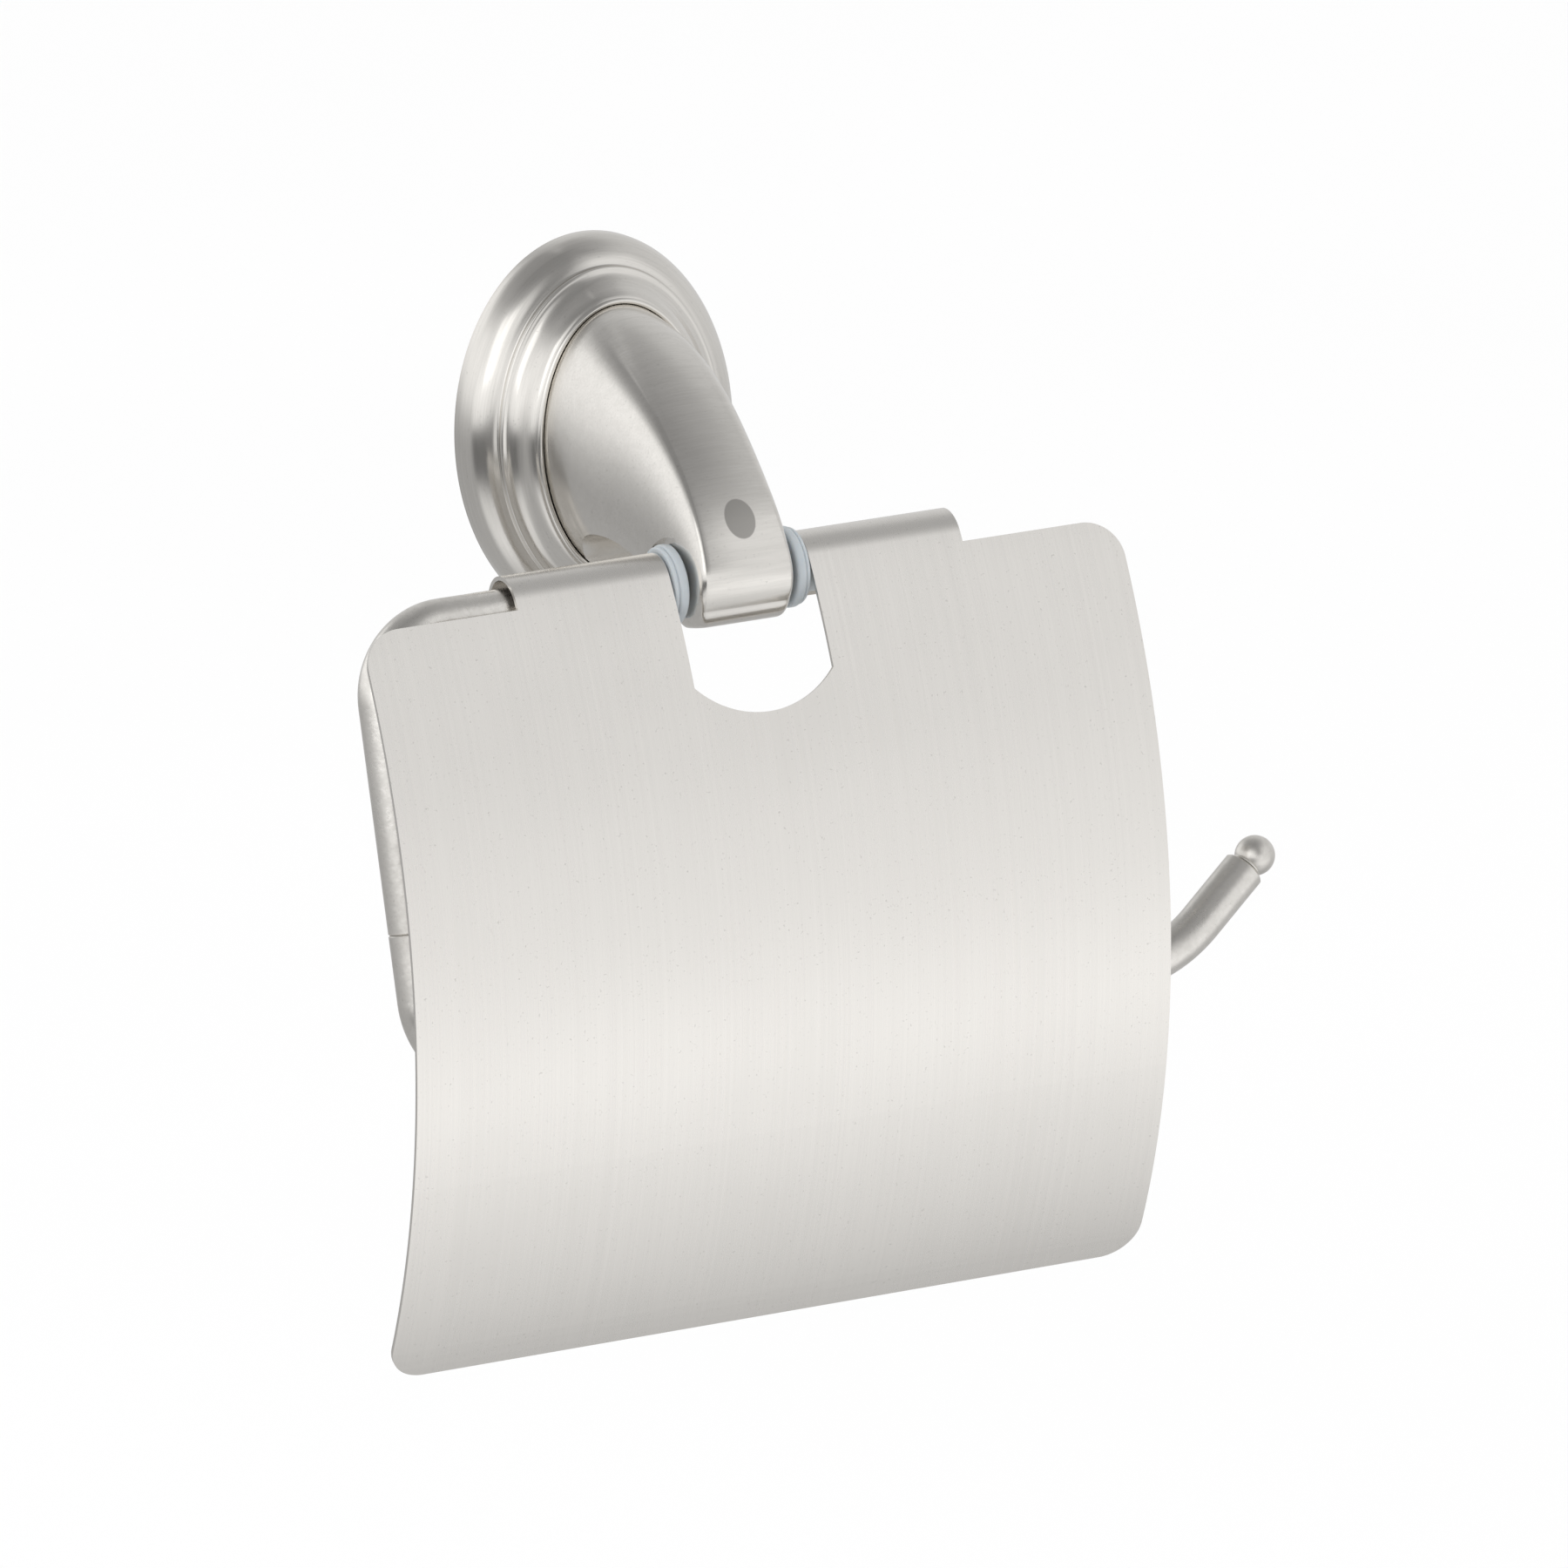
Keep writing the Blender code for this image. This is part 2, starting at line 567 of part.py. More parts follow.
def main():
    wall_bracket()
    rosette()
    grub("rosette_grub_screw", 4.2, at(0, ROSETTE_GRUB_F, -RIM_B + 0.5), (0, 0, 1))
    arm()
    arm_screw()
    hanger_bar()
    grub("bar_grub_screw", 2.6, at(0, HINGE_F, -22.5), (0, 0, 1))
    leg_stud()
    roll_bar()
    ball_tip()
    bush("bush_left", -1)
    bush("bush_right", 1)
    cover_flap()


main()
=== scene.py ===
import json
import math

import bmesh
import bpy
from bpy.props import FloatProperty, FloatVectorProperty, IntProperty, PointerProperty
from bpy.types import Operator, Panel, PropertyGroup
from mathutils import Euler, Matrix, Vector


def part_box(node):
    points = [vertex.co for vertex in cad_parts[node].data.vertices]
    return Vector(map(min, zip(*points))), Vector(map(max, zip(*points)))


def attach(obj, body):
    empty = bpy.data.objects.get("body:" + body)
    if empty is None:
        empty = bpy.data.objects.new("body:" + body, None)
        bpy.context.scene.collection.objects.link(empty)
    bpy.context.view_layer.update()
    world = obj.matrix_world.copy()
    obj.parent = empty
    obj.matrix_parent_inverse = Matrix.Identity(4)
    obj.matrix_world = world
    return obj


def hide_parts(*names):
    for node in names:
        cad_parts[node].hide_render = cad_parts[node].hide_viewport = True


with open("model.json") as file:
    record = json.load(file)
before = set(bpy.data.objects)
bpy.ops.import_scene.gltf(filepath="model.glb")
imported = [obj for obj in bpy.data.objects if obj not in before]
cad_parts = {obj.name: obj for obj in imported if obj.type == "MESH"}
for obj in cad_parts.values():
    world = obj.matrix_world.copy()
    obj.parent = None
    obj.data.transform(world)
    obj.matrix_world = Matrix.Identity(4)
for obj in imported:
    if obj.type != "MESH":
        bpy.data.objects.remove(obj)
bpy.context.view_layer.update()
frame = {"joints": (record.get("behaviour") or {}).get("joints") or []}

bl_info = {
    "name": "Toilet Paper Holder",
    "version": (1, 0, 0),
    "blender": (4, 5, 0),
    "location": "View3D > Sidebar > Holder",
    "description": "A wall-mounted toilet paper holder with an oval rosette, a bent bar and a hinged cover",
    "category": "Object",
}

MM = 0.001
HINGE = Vector(frame["joints"][0]["pos_m"]) / MM
HINGE_F, HINGE_Z = -HINGE.y, HINGE.z
COVER_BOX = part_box("cover_flap")


# ---------------------------------------------------------------- settings


def length(name, description, default, **more):
    """A size in millimetres."""
    return FloatProperty(name=name, description=description, default=default, precision=3, **more)


def colour(name, description, default):
    return FloatVectorProperty(name=name, description=description, default=default, subtype="COLOR",
                               size=3, min=0.0, max=1.0)


def share(name, description, default):
    return FloatProperty(name=name, description=description, default=default, min=0.0, max=1.0,
                         subtype="FACTOR")


class HolderSizes(PropertyGroup):
    rim_a: length("Rim half width", "Half the rosette's width, in mm", 24.5)
    rim_b: length("Rim half height", "Half the rosette's height, in mm", 32.4)
    well: length("Well inset", "How far the arm's well lies in from the rim, in mm", 10.1)
    floor: length("Well floor", "Height of the well's floor above the wall, in mm", 9.9)
    rod: length("Bar radius", "Radius of the upper bar and the roll bar, in mm", 3.5)
    leg_x: length("Leg position", "X of the leg's middle line, in mm", -63.1)
    bar_end: length("Upper bar end", "X of the upper bar's right end, in mm", 38.5)
    drop: length("Roll bar drop", "From the upper bar to the roll bar, along the leg, in mm", 73.2)
    seam: length("Seam position", "From the upper bar to the seam in the leg, in mm", 48.4)
    tilt: FloatProperty(name="Leg tilt", description="How far the leg leans out from the wall",
                        subtype="ANGLE", default=math.radians(10.8))
    ball: length("Ball radius", "Radius of the ball on the roll bar's end, in mm", 3.3)
    bush: length("Bush radius", "Radius of the bush flanges, in mm", 6.6)
    curl: length("Curl radius", "Outer radius of the cover's rolled knuckles, in mm", 5.5)
    sheet: length("Sheet thickness", "Thickness of the cover's sheet, in mm", 0.7)
    cover_r: length("Cover radius", "Radius that the cover is bowed to, in mm", 128.4)
    cover_length: length("Cover length", "Length of the cover along its bow, in mm", 130.6)
    corner: length("Corner radius", "Radius of the cover's corners, in mm", 6.5)
    turns: IntProperty(name="Round steps", description="Steps round a turned piece", default=96, min=24)


class HolderFinish(PropertyGroup):
    nickel: colour("Nickel", "Satin nickel, where it is clean", (0.82, 0.797, 0.760))
    nickel_dull: colour("Dull nickel", "Satin nickel, in the brushed lines", (0.72, 0.698, 0.662))
    nickel_rough: share("Nickel roughness", "Roughness of the brushed nickel", 0.30)
    zinc: colour("Zinc", "Zinc plating on the bracket and screws", (0.62, 0.63, 0.64))
    zinc_dull: colour("Dull zinc", "Zinc plating, where it has clouded", (0.50, 0.51, 0.53))
    plastic: colour("Plastic", "Frosted bush plastic", (0.48, 0.515, 0.54))
    plastic_pale: colour("Pale plastic", "Frosted bush plastic, where it is thin", (0.57, 0.61, 0.635))
    floor: colour("Floor", "The pale floor", (0.90, 0.90, 0.90))


def sizes():
    return bpy.context.scene.holder_sizes


def finish():
    return bpy.context.scene.holder_finish


# ---------------------------------------------------------------- node groups


def new_group(name, inputs, outputs):
    """An empty shader node group with named sockets, its input and output nodes placed."""
    group = bpy.data.node_groups.new(name, "ShaderNodeTree")
    for label, kind, value in inputs:
        socket = group.interface.new_socket(label, in_out="INPUT", socket_type=kind)
        if value is not None:
            socket.default_value = value
    for label, kind in outputs:
        group.interface.new_socket(label, in_out="OUTPUT", socket_type=kind)
    source = group.nodes.new("NodeGroupInput")
    sink = group.nodes.new("NodeGroupOutput")
    return group, source, sink


def math_node(tree, operation, first, second=None, third=None):
    node = tree.nodes.new("ShaderNodeMath")
    node.operation = operation
    for index, value in enumerate((first, second, third)):
        if value is None:
            continue
        if isinstance(value, (int, float)):
            node.inputs[index].default_value = value
        else:
            tree.links.new(value, node.inputs[index])
    return node.outputs[0]


def noise_node(tree, vector, scale, detail, roughness=0.5):
    node = tree.nodes.new("ShaderNodeTexNoise")
    node.inputs["Scale"].default_value = scale
    node.inputs["Detail"].default_value = detail
    node.inputs["Roughness"].default_value = roughness
    tree.links.new(vector, node.inputs["Vector"])
    return node.outputs["Fac"]


def range_node(tree, value, low, high, to_low, to_high):
    node = tree.nodes.new("ShaderNodeMapRange")
    tree.links.new(value, node.inputs["Value"])
    for label, given in (("From Min", low), ("From Max", high), ("To Min", to_low), ("To Max", to_high)):
        if isinstance(given, (int, float)):
            node.inputs[label].default_value = given
        else:
            tree.links.new(given, node.inputs[label])
    return node.outputs["Result"]


def mix_colour(tree, factor, first, second):
    node = tree.nodes.new("ShaderNodeMix")
    node.data_type = "RGBA"
    tree.links.new(factor, node.inputs["Factor"])
    for index, value in ((6, first), (7, second)):
        if hasattr(value, "links"):
            tree.links.new(value, node.inputs[index])
        else:
            node.inputs[index].default_value = (*value, 1.0)
    return node.outputs[2]


def brushed_group():
    """Fine brushed lines: a colour, a roughness and a height from coordinates stretched along them."""
    group, source, sink = new_group(
        "brushed_lines",
        (("Vector", "NodeSocketVector", None), ("Clean", "NodeSocketColor", (0.8, 0.8, 0.8, 1)),
         ("Dull", "NodeSocketColor", (0.7, 0.7, 0.7, 1)), ("Roughness", "NodeSocketFloat", 0.3),
         ("Spread", "NodeSocketFloat", 0.1), ("Patchiness", "NodeSocketFloat", 0.3)),
        (("Color", "NodeSocketColor"), ("Roughness", "NodeSocketFloat"), ("Height", "NodeSocketFloat")))
    vector = source.outputs["Vector"]
    fine = noise_node(group, vector, 1.0, 3.0, 0.6)
    broad = noise_node(group, vector, 0.23, 2.0, 0.5)
    coords = group.nodes.new("ShaderNodeTexCoord")
    cloud = noise_node(group, coords.outputs["Object"], 55.0, 3.0, 0.5)
    lines = math_node(group, "ADD", math_node(group, "MULTIPLY", fine, 0.6),
                      math_node(group, "MULTIPLY", broad, 0.4))
    tone = range_node(group, lines, 0.36, 0.64, 0.0, 1.0)
    patch = range_node(group, cloud, 0.35, 0.7, 0.0, source.outputs["Patchiness"])
    both = math_node(group, "ADD", math_node(group, "MULTIPLY", tone, 0.55), patch)
    shade = math_node(group, "MINIMUM", both, 1.0)
    tint = mix_colour(group, shade, source.outputs["Clean"], source.outputs["Dull"])
    group.links.new(tint, sink.inputs["Color"])
    swing = math_node(group, "MULTIPLY", math_node(group, "SUBTRACT", shade, 0.35), source.outputs["Spread"])
    group.links.new(math_node(group, "ADD", source.outputs["Roughness"], swing), sink.inputs["Roughness"])
    group.links.new(lines, sink.inputs["Height"])
    return group


def handling_group():
    """Soft smudges and a dusting of small specks, as masks."""
    group, source, sink = new_group(
        "handling_marks", (("Scale", "NodeSocketFloat", 30.0), ("Amount", "NodeSocketFloat", 0.5)),
        (("Smudge", "NodeSocketFloat"), ("Specks", "NodeSocketFloat")))
    coords = group.nodes.new("ShaderNodeTexCoord")
    scaled = group.nodes.new("ShaderNodeVectorMath")
    scaled.operation = "SCALE"
    group.links.new(coords.outputs["Object"], scaled.inputs[0])
    group.links.new(source.outputs["Scale"], scaled.inputs["Scale"])
    smear = noise_node(group, scaled.outputs[0], 1.0, 4.0, 0.6)
    speck = noise_node(group, scaled.outputs[0], 60.0, 2.0, 0.5)
    soft = range_node(group, smear, 0.42, 0.75, 0.0, source.outputs["Amount"])
    dots = range_node(group, speck, 0.66, 0.74, 0.0, source.outputs["Amount"])
    group.links.new(soft, sink.inputs["Smudge"])
    group.links.new(dots, sink.inputs["Specks"])
    return group


def shared(name, build):
    return bpy.data.node_groups.get(name) or build()


def place_group(tree, group, **values):
    node = tree.nodes.new("ShaderNodeGroup")
    node.node_tree = group
    for label, value in values.items():
        socket = node.inputs[label]
        if hasattr(value, "links"):
            tree.links.new(value, socket)
        elif isinstance(value, (int, float)):
            socket.default_value = value
        else:
            socket.default_value = (*value, 1.0)
    return node


def bump(tree, height, strength, distance):
    node = tree.nodes.new("ShaderNodeBump")
    node.inputs["Strength"].default_value = strength
    node.inputs["Distance"].default_value = distance
    tree.links.new(height, node.inputs["Height"])
    return node.outputs["Normal"]


def blank(name, metallic, roughness):
    """A new material with its node tree and its shader."""
    mat = bpy.data.materials.new(name)
    mat.use_nodes = True
    shader = mat.node_tree.nodes["Principled BSDF"]
    shader.inputs["Metallic"].default_value = metallic
    shader.inputs["Roughness"].default_value = roughness
    return mat, mat.node_tree, shader


def stretched(tree, scale):
    """Object coordinates multiplied by scale, one number for each axis."""
    coords = tree.nodes.new("ShaderNodeTexCoord")
    node = tree.nodes.new("ShaderNodeVectorMath")
    node.operation = "MULTIPLY"
    tree.links.new(coords.outputs["Object"], node.inputs[0])
    node.inputs[1].default_value = scale
    return node.outputs[0]


def ring_coordinates(tree, across, along):
    """Coordinates whose fast direction runs out from the Y axis, for lines that follow the rosette round."""
    coords = tree.nodes.new("ShaderNodeTexCoord")
    parts = tree.nodes.new("ShaderNodeSeparateXYZ")
    tree.links.new(coords.outputs["Object"], parts.inputs[0])
    squash = sizes().rim_a / sizes().rim_b
    z = math_node(tree, "MULTIPLY", parts.outputs["Z"], squash)
    x = parts.outputs["X"]
    out = math_node(tree, "SQRT", math_node(tree, "ADD", math_node(tree, "MULTIPLY", x, x),
                                            math_node(tree, "MULTIPLY", z, z)))
    joined = tree.nodes.new("ShaderNodeCombineXYZ")
    tree.links.new(math_node(tree, "MULTIPLY", out, across), joined.inputs["X"])
    tree.links.new(math_node(tree, "MULTIPLY", parts.outputs["Y"], across), joined.inputs["Y"])
    tree.links.new(math_node(tree, "MULTIPLY", math_node(tree, "ARCTAN2", z, x), along), joined.inputs["Z"])
    return joined.outputs[0]


def nickel(name, vector_of, rough=0.0, spread=0.10, patch=0.3, lines=0.10, clean=None, dull=None):
    """Brushed satin nickel. vector_of makes the coordinates that its lines follow."""
    if name in bpy.data.materials:
        return bpy.data.materials[name]
    look = finish()
    mat, tree, shader = blank(name, 1.0, look.nickel_rough)
    grain = place_group(tree, shared("brushed_lines", brushed_group), Vector=vector_of(tree),
                        Clean=clean or look.nickel, Dull=dull or look.nickel_dull,
                        Roughness=look.nickel_rough + rough, Spread=spread, Patchiness=patch)
    marks = place_group(tree, shared("handling_marks", handling_group), Scale=38.0, Amount=0.5)
    tint = mix_colour(tree, marks.outputs["Specks"], grain.outputs["Color"],
                      tuple(0.8 * c for c in look.nickel_dull))
    tree.links.new(tint, shader.inputs["Base Color"])
    worn = math_node(tree, "MULTIPLY_ADD", marks.outputs["Smudge"], 0.07, grain.outputs["Roughness"])
    tree.links.new(worn, shader.inputs["Roughness"])
    tree.links.new(bump(tree, grain.outputs["Height"], lines, 0.00005), shader.inputs["Normal"])
    return mat


def etched_nickel(name, vector_of, middle, normal, half_x, half_z, **look_of):
    """Brushed nickel with one plain matt etched oval at middle, facing along normal."""
    mat = nickel(name, vector_of, **look_of)
    tree = mat.node_tree
    shader = tree.nodes["Principled BSDF"]
    coords = tree.nodes.new("ShaderNodeTexCoord")
    shift = tree.nodes.new("ShaderNodeVectorMath")
    shift.operation = "SUBTRACT"
    tree.links.new(coords.outputs["Object"], shift.inputs[0])
    shift.inputs[1].default_value = middle

    def reach(axis, scale):
        dot = tree.nodes.new("ShaderNodeVectorMath")
        dot.operation = "DOT_PRODUCT"
        tree.links.new(shift.outputs[0], dot.inputs[0])
        dot.inputs[1].default_value = axis
        return math_node(tree, "DIVIDE", dot.outputs["Value"], scale)

    across = Vector((1, 0, 0))
    spans = (reach(across, half_x), reach(across.cross(normal), half_z))
    squares = [math_node(tree, "MULTIPLY", v, v) for v in spans]
    away = math_node(tree, "SQRT", math_node(tree, "ADD", *squares))
    near = range_node(tree, reach(normal, MM), -3.0, -2.4, 0.0, 1.0)
    mask = math_node(tree, "MULTIPLY", range_node(tree, away, 0.97, 1.03, 1.0, 0.0), near)
    base = shader.inputs["Base Color"].links[0].from_socket
    rough = shader.inputs["Roughness"].links[0].from_socket
    darker, rougher = 0.62, 0.16
    dark = tuple(darker * c for c in finish().nickel_dull)
    tree.links.new(mix_colour(tree, mask, base, dark), shader.inputs["Base Color"])
    tree.links.new(math_node(tree, "MULTIPLY_ADD", mask, rougher, rough), shader.inputs["Roughness"])
    return mat


def zinc():
    """Clouded zinc plating for the bracket and the hidden screws."""
    if "zinc_plating" in bpy.data.materials:
        return bpy.data.materials["zinc_plating"]
    look = finish()
    mat, tree, shader = blank("zinc_plating", 1.0, 0.42)
    grain = place_group(tree, shared("brushed_lines", brushed_group), Vector=stretched(tree, (900, 900, 500)),
                        Clean=look.zinc, Dull=look.zinc_dull, Roughness=0.40, Spread=0.2, Patchiness=0.6)
    marks = place_group(tree, shared("handling_marks", handling_group), Scale=60.0, Amount=0.7)
    tint = mix_colour(tree, marks.outputs["Smudge"], grain.outputs["Color"],
                      tuple(0.75 * c for c in look.zinc_dull))
    tree.links.new(tint, shader.inputs["Base Color"])
    tree.links.new(grain.outputs["Roughness"], shader.inputs["Roughness"])
    tree.links.new(bump(tree, grain.outputs["Height"], 0.25, 0.0001), shader.inputs["Normal"])
    return mat


def frosted_plastic():
    """The pale, slightly bluish plastic of the bushes."""
    if "frosted_plastic" in bpy.data.materials:
        return bpy.data.materials["frosted_plastic"]
    look = finish()
    mat, tree, shader = blank("frosted_plastic", 0.0, 0.34)
    shader.inputs["IOR"].default_value = 1.49
    shader.inputs["Subsurface Weight"].default_value = 0.35
    shader.inputs["Subsurface Radius"].default_value = (0.6, 0.8, 1.0)
    shader.inputs["Subsurface Scale"].default_value = 0.002
    marks = place_group(tree, shared("handling_marks", handling_group), Scale=130.0, Amount=0.9)
    tint = mix_colour(tree, marks.outputs["Smudge"], look.plastic, look.plastic_pale)
    tree.links.new(tint, shader.inputs["Base Color"])
    rough = math_node(tree, "MULTIPLY_ADD", marks.outputs["Smudge"], 0.12, 0.28)
    tree.links.new(rough, shader.inputs["Roughness"])
    tree.links.new(bump(tree, marks.outputs["Specks"], 0.08, 0.00005), shader.inputs["Normal"])
    return mat


# ---------------------------------------------------------------- mesh helpers


def placed(name, data):
    """A new object in the scene."""
    obj = bpy.data.objects.new(name, data)
    bpy.context.scene.collection.objects.link(obj)
    return obj


def smoothed(mesh, degrees):
    """The mesh shaded smooth, with edges sharper than the angle kept sharp."""
    mesh.shade_smooth()
    mesh.set_sharp_from_angle(angle=math.radians(degrees))
    return mesh


def applied(holder, *spare):
    """The holder's mesh with its modifiers applied. The holder and the spare objects go."""
    name = holder.data.name
    graph = bpy.context.evaluated_depsgraph_get()
    result = bpy.data.meshes.new_from_object(holder.evaluated_get(graph), depsgraph=graph)
    result.name = name
    for obj in (holder, *spare):
        bpy.data.objects.remove(obj)
    return result


def at(x, f, z):
    """A point given by X, distance out from the wall and Z, in millimetres."""
    return Vector((x, -f, z)) * MM


def mesh_of(name, points, faces, sharp=32.0):
    mesh = bpy.data.meshes.new(name)
    mesh.from_pydata([tuple(p) for p in points], [], faces)
    bm = bmesh.new()
    bm.from_mesh(mesh)
    bmesh.ops.recalc_face_normals(bm, faces=bm.faces)
    bm.to_mesh(mesh)
    bm.free()
    return smoothed(mesh, sharp)


def piece(name, mesh, mat, body, node):
    """A finished piece that stands for one CAD node and rides on a body."""
    obj = placed(name, mesh)
    mesh.materials.clear()
    mesh.materials.append(mat)
    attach(obj, body)
    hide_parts(node)


def loft(name, rings, closed=False, sharp=32.0):
    """Quads between rings of one count; the ends are fanned to their middles, or joined when closed."""
    n = len(rings[0])
    points = [p for ring in rings for p in ring]
    faces = []
    for k in range(len(rings) if closed else len(rings) - 1):
        a, b = k * n, (k + 1) % len(rings) * n
        faces += [(a + i, a + (i + 1) % n, b + (i + 1) % n, b + i) for i in range(n)]
    if not closed:
        for base in (0, len(points) - n):
            middle = sum((points[base + i] for i in range(n)), Vector()) / n
            points.append(middle)
            faces += [(base + i, base + (i + 1) % n, len(points) - 1) for i in range(n)]
    return mesh_of(name, points, faces, sharp)


def frame_along(origin, axis):
    """A matrix at origin whose Z points along axis."""
    turn = Vector((0, 0, 1)).rotation_difference(Vector(axis).normalized())
    return Matrix.Translation(origin) @ turn.to_matrix().to_4x4()


def turned(name, profile, matrix, steps=None, sharp=32.0):
    """A mesh turned about an axis from (radius, height) points that start and end on the axis."""
    steps = steps or sizes().turns
    turns = [2 * math.pi * i / steps for i in range(steps)]
    rings = [[matrix @ (Vector((r * math.cos(t), r * math.sin(t), h)) * MM) for t in turns]
             for r, h in profile[1:-1]]
    points = [p for ring in rings for p in ring]
    faces = []
    for k in range(len(rings) - 1):
        a, b = k * steps, (k + 1) * steps
        faces += [(a + i, a + (i + 1) % steps, b + (i + 1) % steps, b + i) for i in range(steps)]
    for base, (_, h) in ((0, profile[0]), ((len(rings) - 1) * steps, profile[-1])):
        points.append(matrix @ (Vector((0, 0, h)) * MM))
        faces += [(base + i, base + (i + 1) % steps, len(points) - 1) for i in range(steps)]
    return mesh_of(name, points, faces, sharp)


def cut(mesh, *tools, sharp=32.0):
    """The mesh with the tool meshes taken away."""
    holder = placed("cut", mesh)
    used = [placed("tool", tool) for tool in tools]
    for obj in used:
        mod = holder.modifiers.new("cut", "BOOLEAN")
        mod.operation, mod.solver, mod.object = "DIFFERENCE", "EXACT", obj
    return smoothed(applied(holder, *used), sharp)


def bevelled(mesh, width):
    """The mesh with its sharp edges rounded to width millimetres."""
    angle = 40.0
    holder = placed("bevel", smoothed(mesh, angle))
    mod = holder.modifiers.new("bevel", "BEVEL")
    mod.width, mod.segments = width * MM, 2
    mod.limit_method, mod.angle_limit = "ANGLE", math.radians(angle)
    mod.miter_outer = "MITER_ARC"
    mod.harden_normals = True
    return applied(holder)


def drill(radius, depth, origin, axis, sides=64):
    """A round tool of the given depth that starts at origin and runs along axis."""
    bm = bmesh.new()
    bmesh.ops.create_cone(bm, cap_ends=True, segments=sides, radius1=radius * MM, radius2=radius * MM,
                          depth=depth * MM, matrix=Matrix.Translation((0, 0, depth / 2 * MM)))
    bmesh.ops.transform(bm, matrix=frame_along(origin, axis), verts=bm.verts)
    mesh = bpy.data.meshes.new("drill")
    bm.to_mesh(mesh)
    bm.free()
    return mesh


def prism(outline, depth, matrix):
    """A tool from a flat outline in millimetres that runs depth along the matrix's Z."""
    n = len(outline)
    points = [matrix @ (Vector((x, y, z)) * MM) for z in (0.0, depth) for x, y in outline]
    faces = [(i, (i + 1) % n, n + (i + 1) % n, n + i) for i in range(n)]
    faces += [tuple(range(n)), tuple(range(2 * n - 1, n - 1, -1))]
    return mesh_of("prism", points, faces)


def arc(cx, cw, radius, start, end, count):
    """Points of an arc round (cx, cw), in count even steps."""
    return [(cx + radius * math.cos(start + (end - start) * i / count),
             cw + radius * math.sin(start + (end - start) * i / count)) for i in range(count + 1)]


def smooth_line(rows, steps):
    """Catmull-Rom points through rows of numbers."""
    out = []
    for k in range(len(rows) - 1):
        p = [rows[min(max(k + i, 0), len(rows) - 1)] for i in (-1, 0, 1, 2)]
        for j in range(steps):
            u = j / steps
            out.append(tuple(0.5 * (2 * b + (c - a) * u + (2 * a - 5 * b + 4 * c - d) * u * u
                                    + (3 * b - a - 3 * c + d) * u ** 3) for a, b, c, d in zip(*p)))
    out.append(tuple(rows[-1]))
    return out


# ---------------------------------------------------------------- rosette and bracket


# rings as (inset from the rim, distance from the wall): the front in bands, from the rim to the well
ROSETTE_BANDS = (
    ((0.0, 0.0), (0.0, 0.9), (0.06, 1.8), (0.35, 2.9), (1.1, 4.4), (2.2, 5.7), (3.4, 6.55), (4.35, 6.95)),
    ((4.45, 7.0), (4.55, 7.15), (4.6, 7.5), (4.72, 7.85), (5.0, 8.0)),
    ((5.0, 8.0), (5.6, 8.2), (6.4, 8.85), (7.2, 10.0), (7.9, 11.2), (8.5, 12.05), (8.95, 12.4)),
    ((9.0, 12.42), (9.15, 12.62), (9.4, 12.78), (9.7, 12.74), (9.95, 12.5), (10.1, 12.1)),
)
# and the hollow back, from the screw hole out to the rim
ROSETTE_BACK = (
    (10.9, 8.3), (8.2, 8.3), (7.0, 6.6), (5.4, 5.6), (3.6, 4.6), (2.5, 2.6), (2.3, 0.15), (2.15, 0.0),
)
SCREW_HOLE = 3.4
GRUB_BORE, ROSETTE_GRUB_F = 2.3, 3.0
SLOT_Z = 15.0
# rings as (distance from the wall, inset from the edge)
BRACKET_SECTION = (
    (0.0, 0.6), (0.12, 0.2), (0.35, 0.0), (1.5, 0.0), (1.7, 0.2), (2.0, 0.9), (2.2, 1.0), (2.9, 1.0),
    (3.1, 0.8), (3.25, 0.1), (3.4, 0.0), (4.0, 0.0), (4.25, 0.1), (4.4, 0.4),
)
BRACKET_WELL = ((2.2, 3.5), (2.5, 3.2), (6.0, 2.6))


def oval(a, b, f, n=None):
    """A ring parallel to the wall at distance f, a wide and b high from its middle."""
    n = n or 2 * sizes().turns
    turns = [2 * math.pi * i / n for i in range(n)]
    return [at(a * math.cos(t), f, b * math.sin(t)) for t in turns]


def build_rosette():
    s = sizes()
    rings = []
    for band in ROSETTE_BANDS:
        rings += [oval(s.rim_a - i, s.rim_b - i, f) for i, f in smooth_line(band, 4)]
    rings.append(oval(s.rim_a - s.well, s.rim_b - s.well, s.floor))
    rings += [oval(SCREW_HOLE, SCREW_HOLE, f) for f in (s.floor, ROSETTE_BACK[0][1])]
    rings += [oval(s.rim_a - i, s.rim_b - i, f) for i, f in ROSETTE_BACK]
    hole = drill(GRUB_BORE, 6.0, at(0, ROSETTE_GRUB_F, -s.rim_b - 1.5), (0, 0, 1))
    mesh = cut(loft("rosette", rings, closed=True), hole)
    piece("rosette_shell", mesh, nickel("rosette_nickel", lambda tree: ring_coordinates(tree, 5200.0, 3.0),
                                        rough=-0.13, spread=0.08, lines=0.10), "holder", "rosette")


def slot_outline(radius, reach, steps=24):
    """A slot with round ends, its ends' middles reach to each side."""
    out = []
    for i in range(steps):
        t = 2 * math.pi * (i + 0.5) / steps
        out.append((radius * math.cos(t) + math.copysign(reach, math.cos(t)), radius * math.sin(t)))
    return out


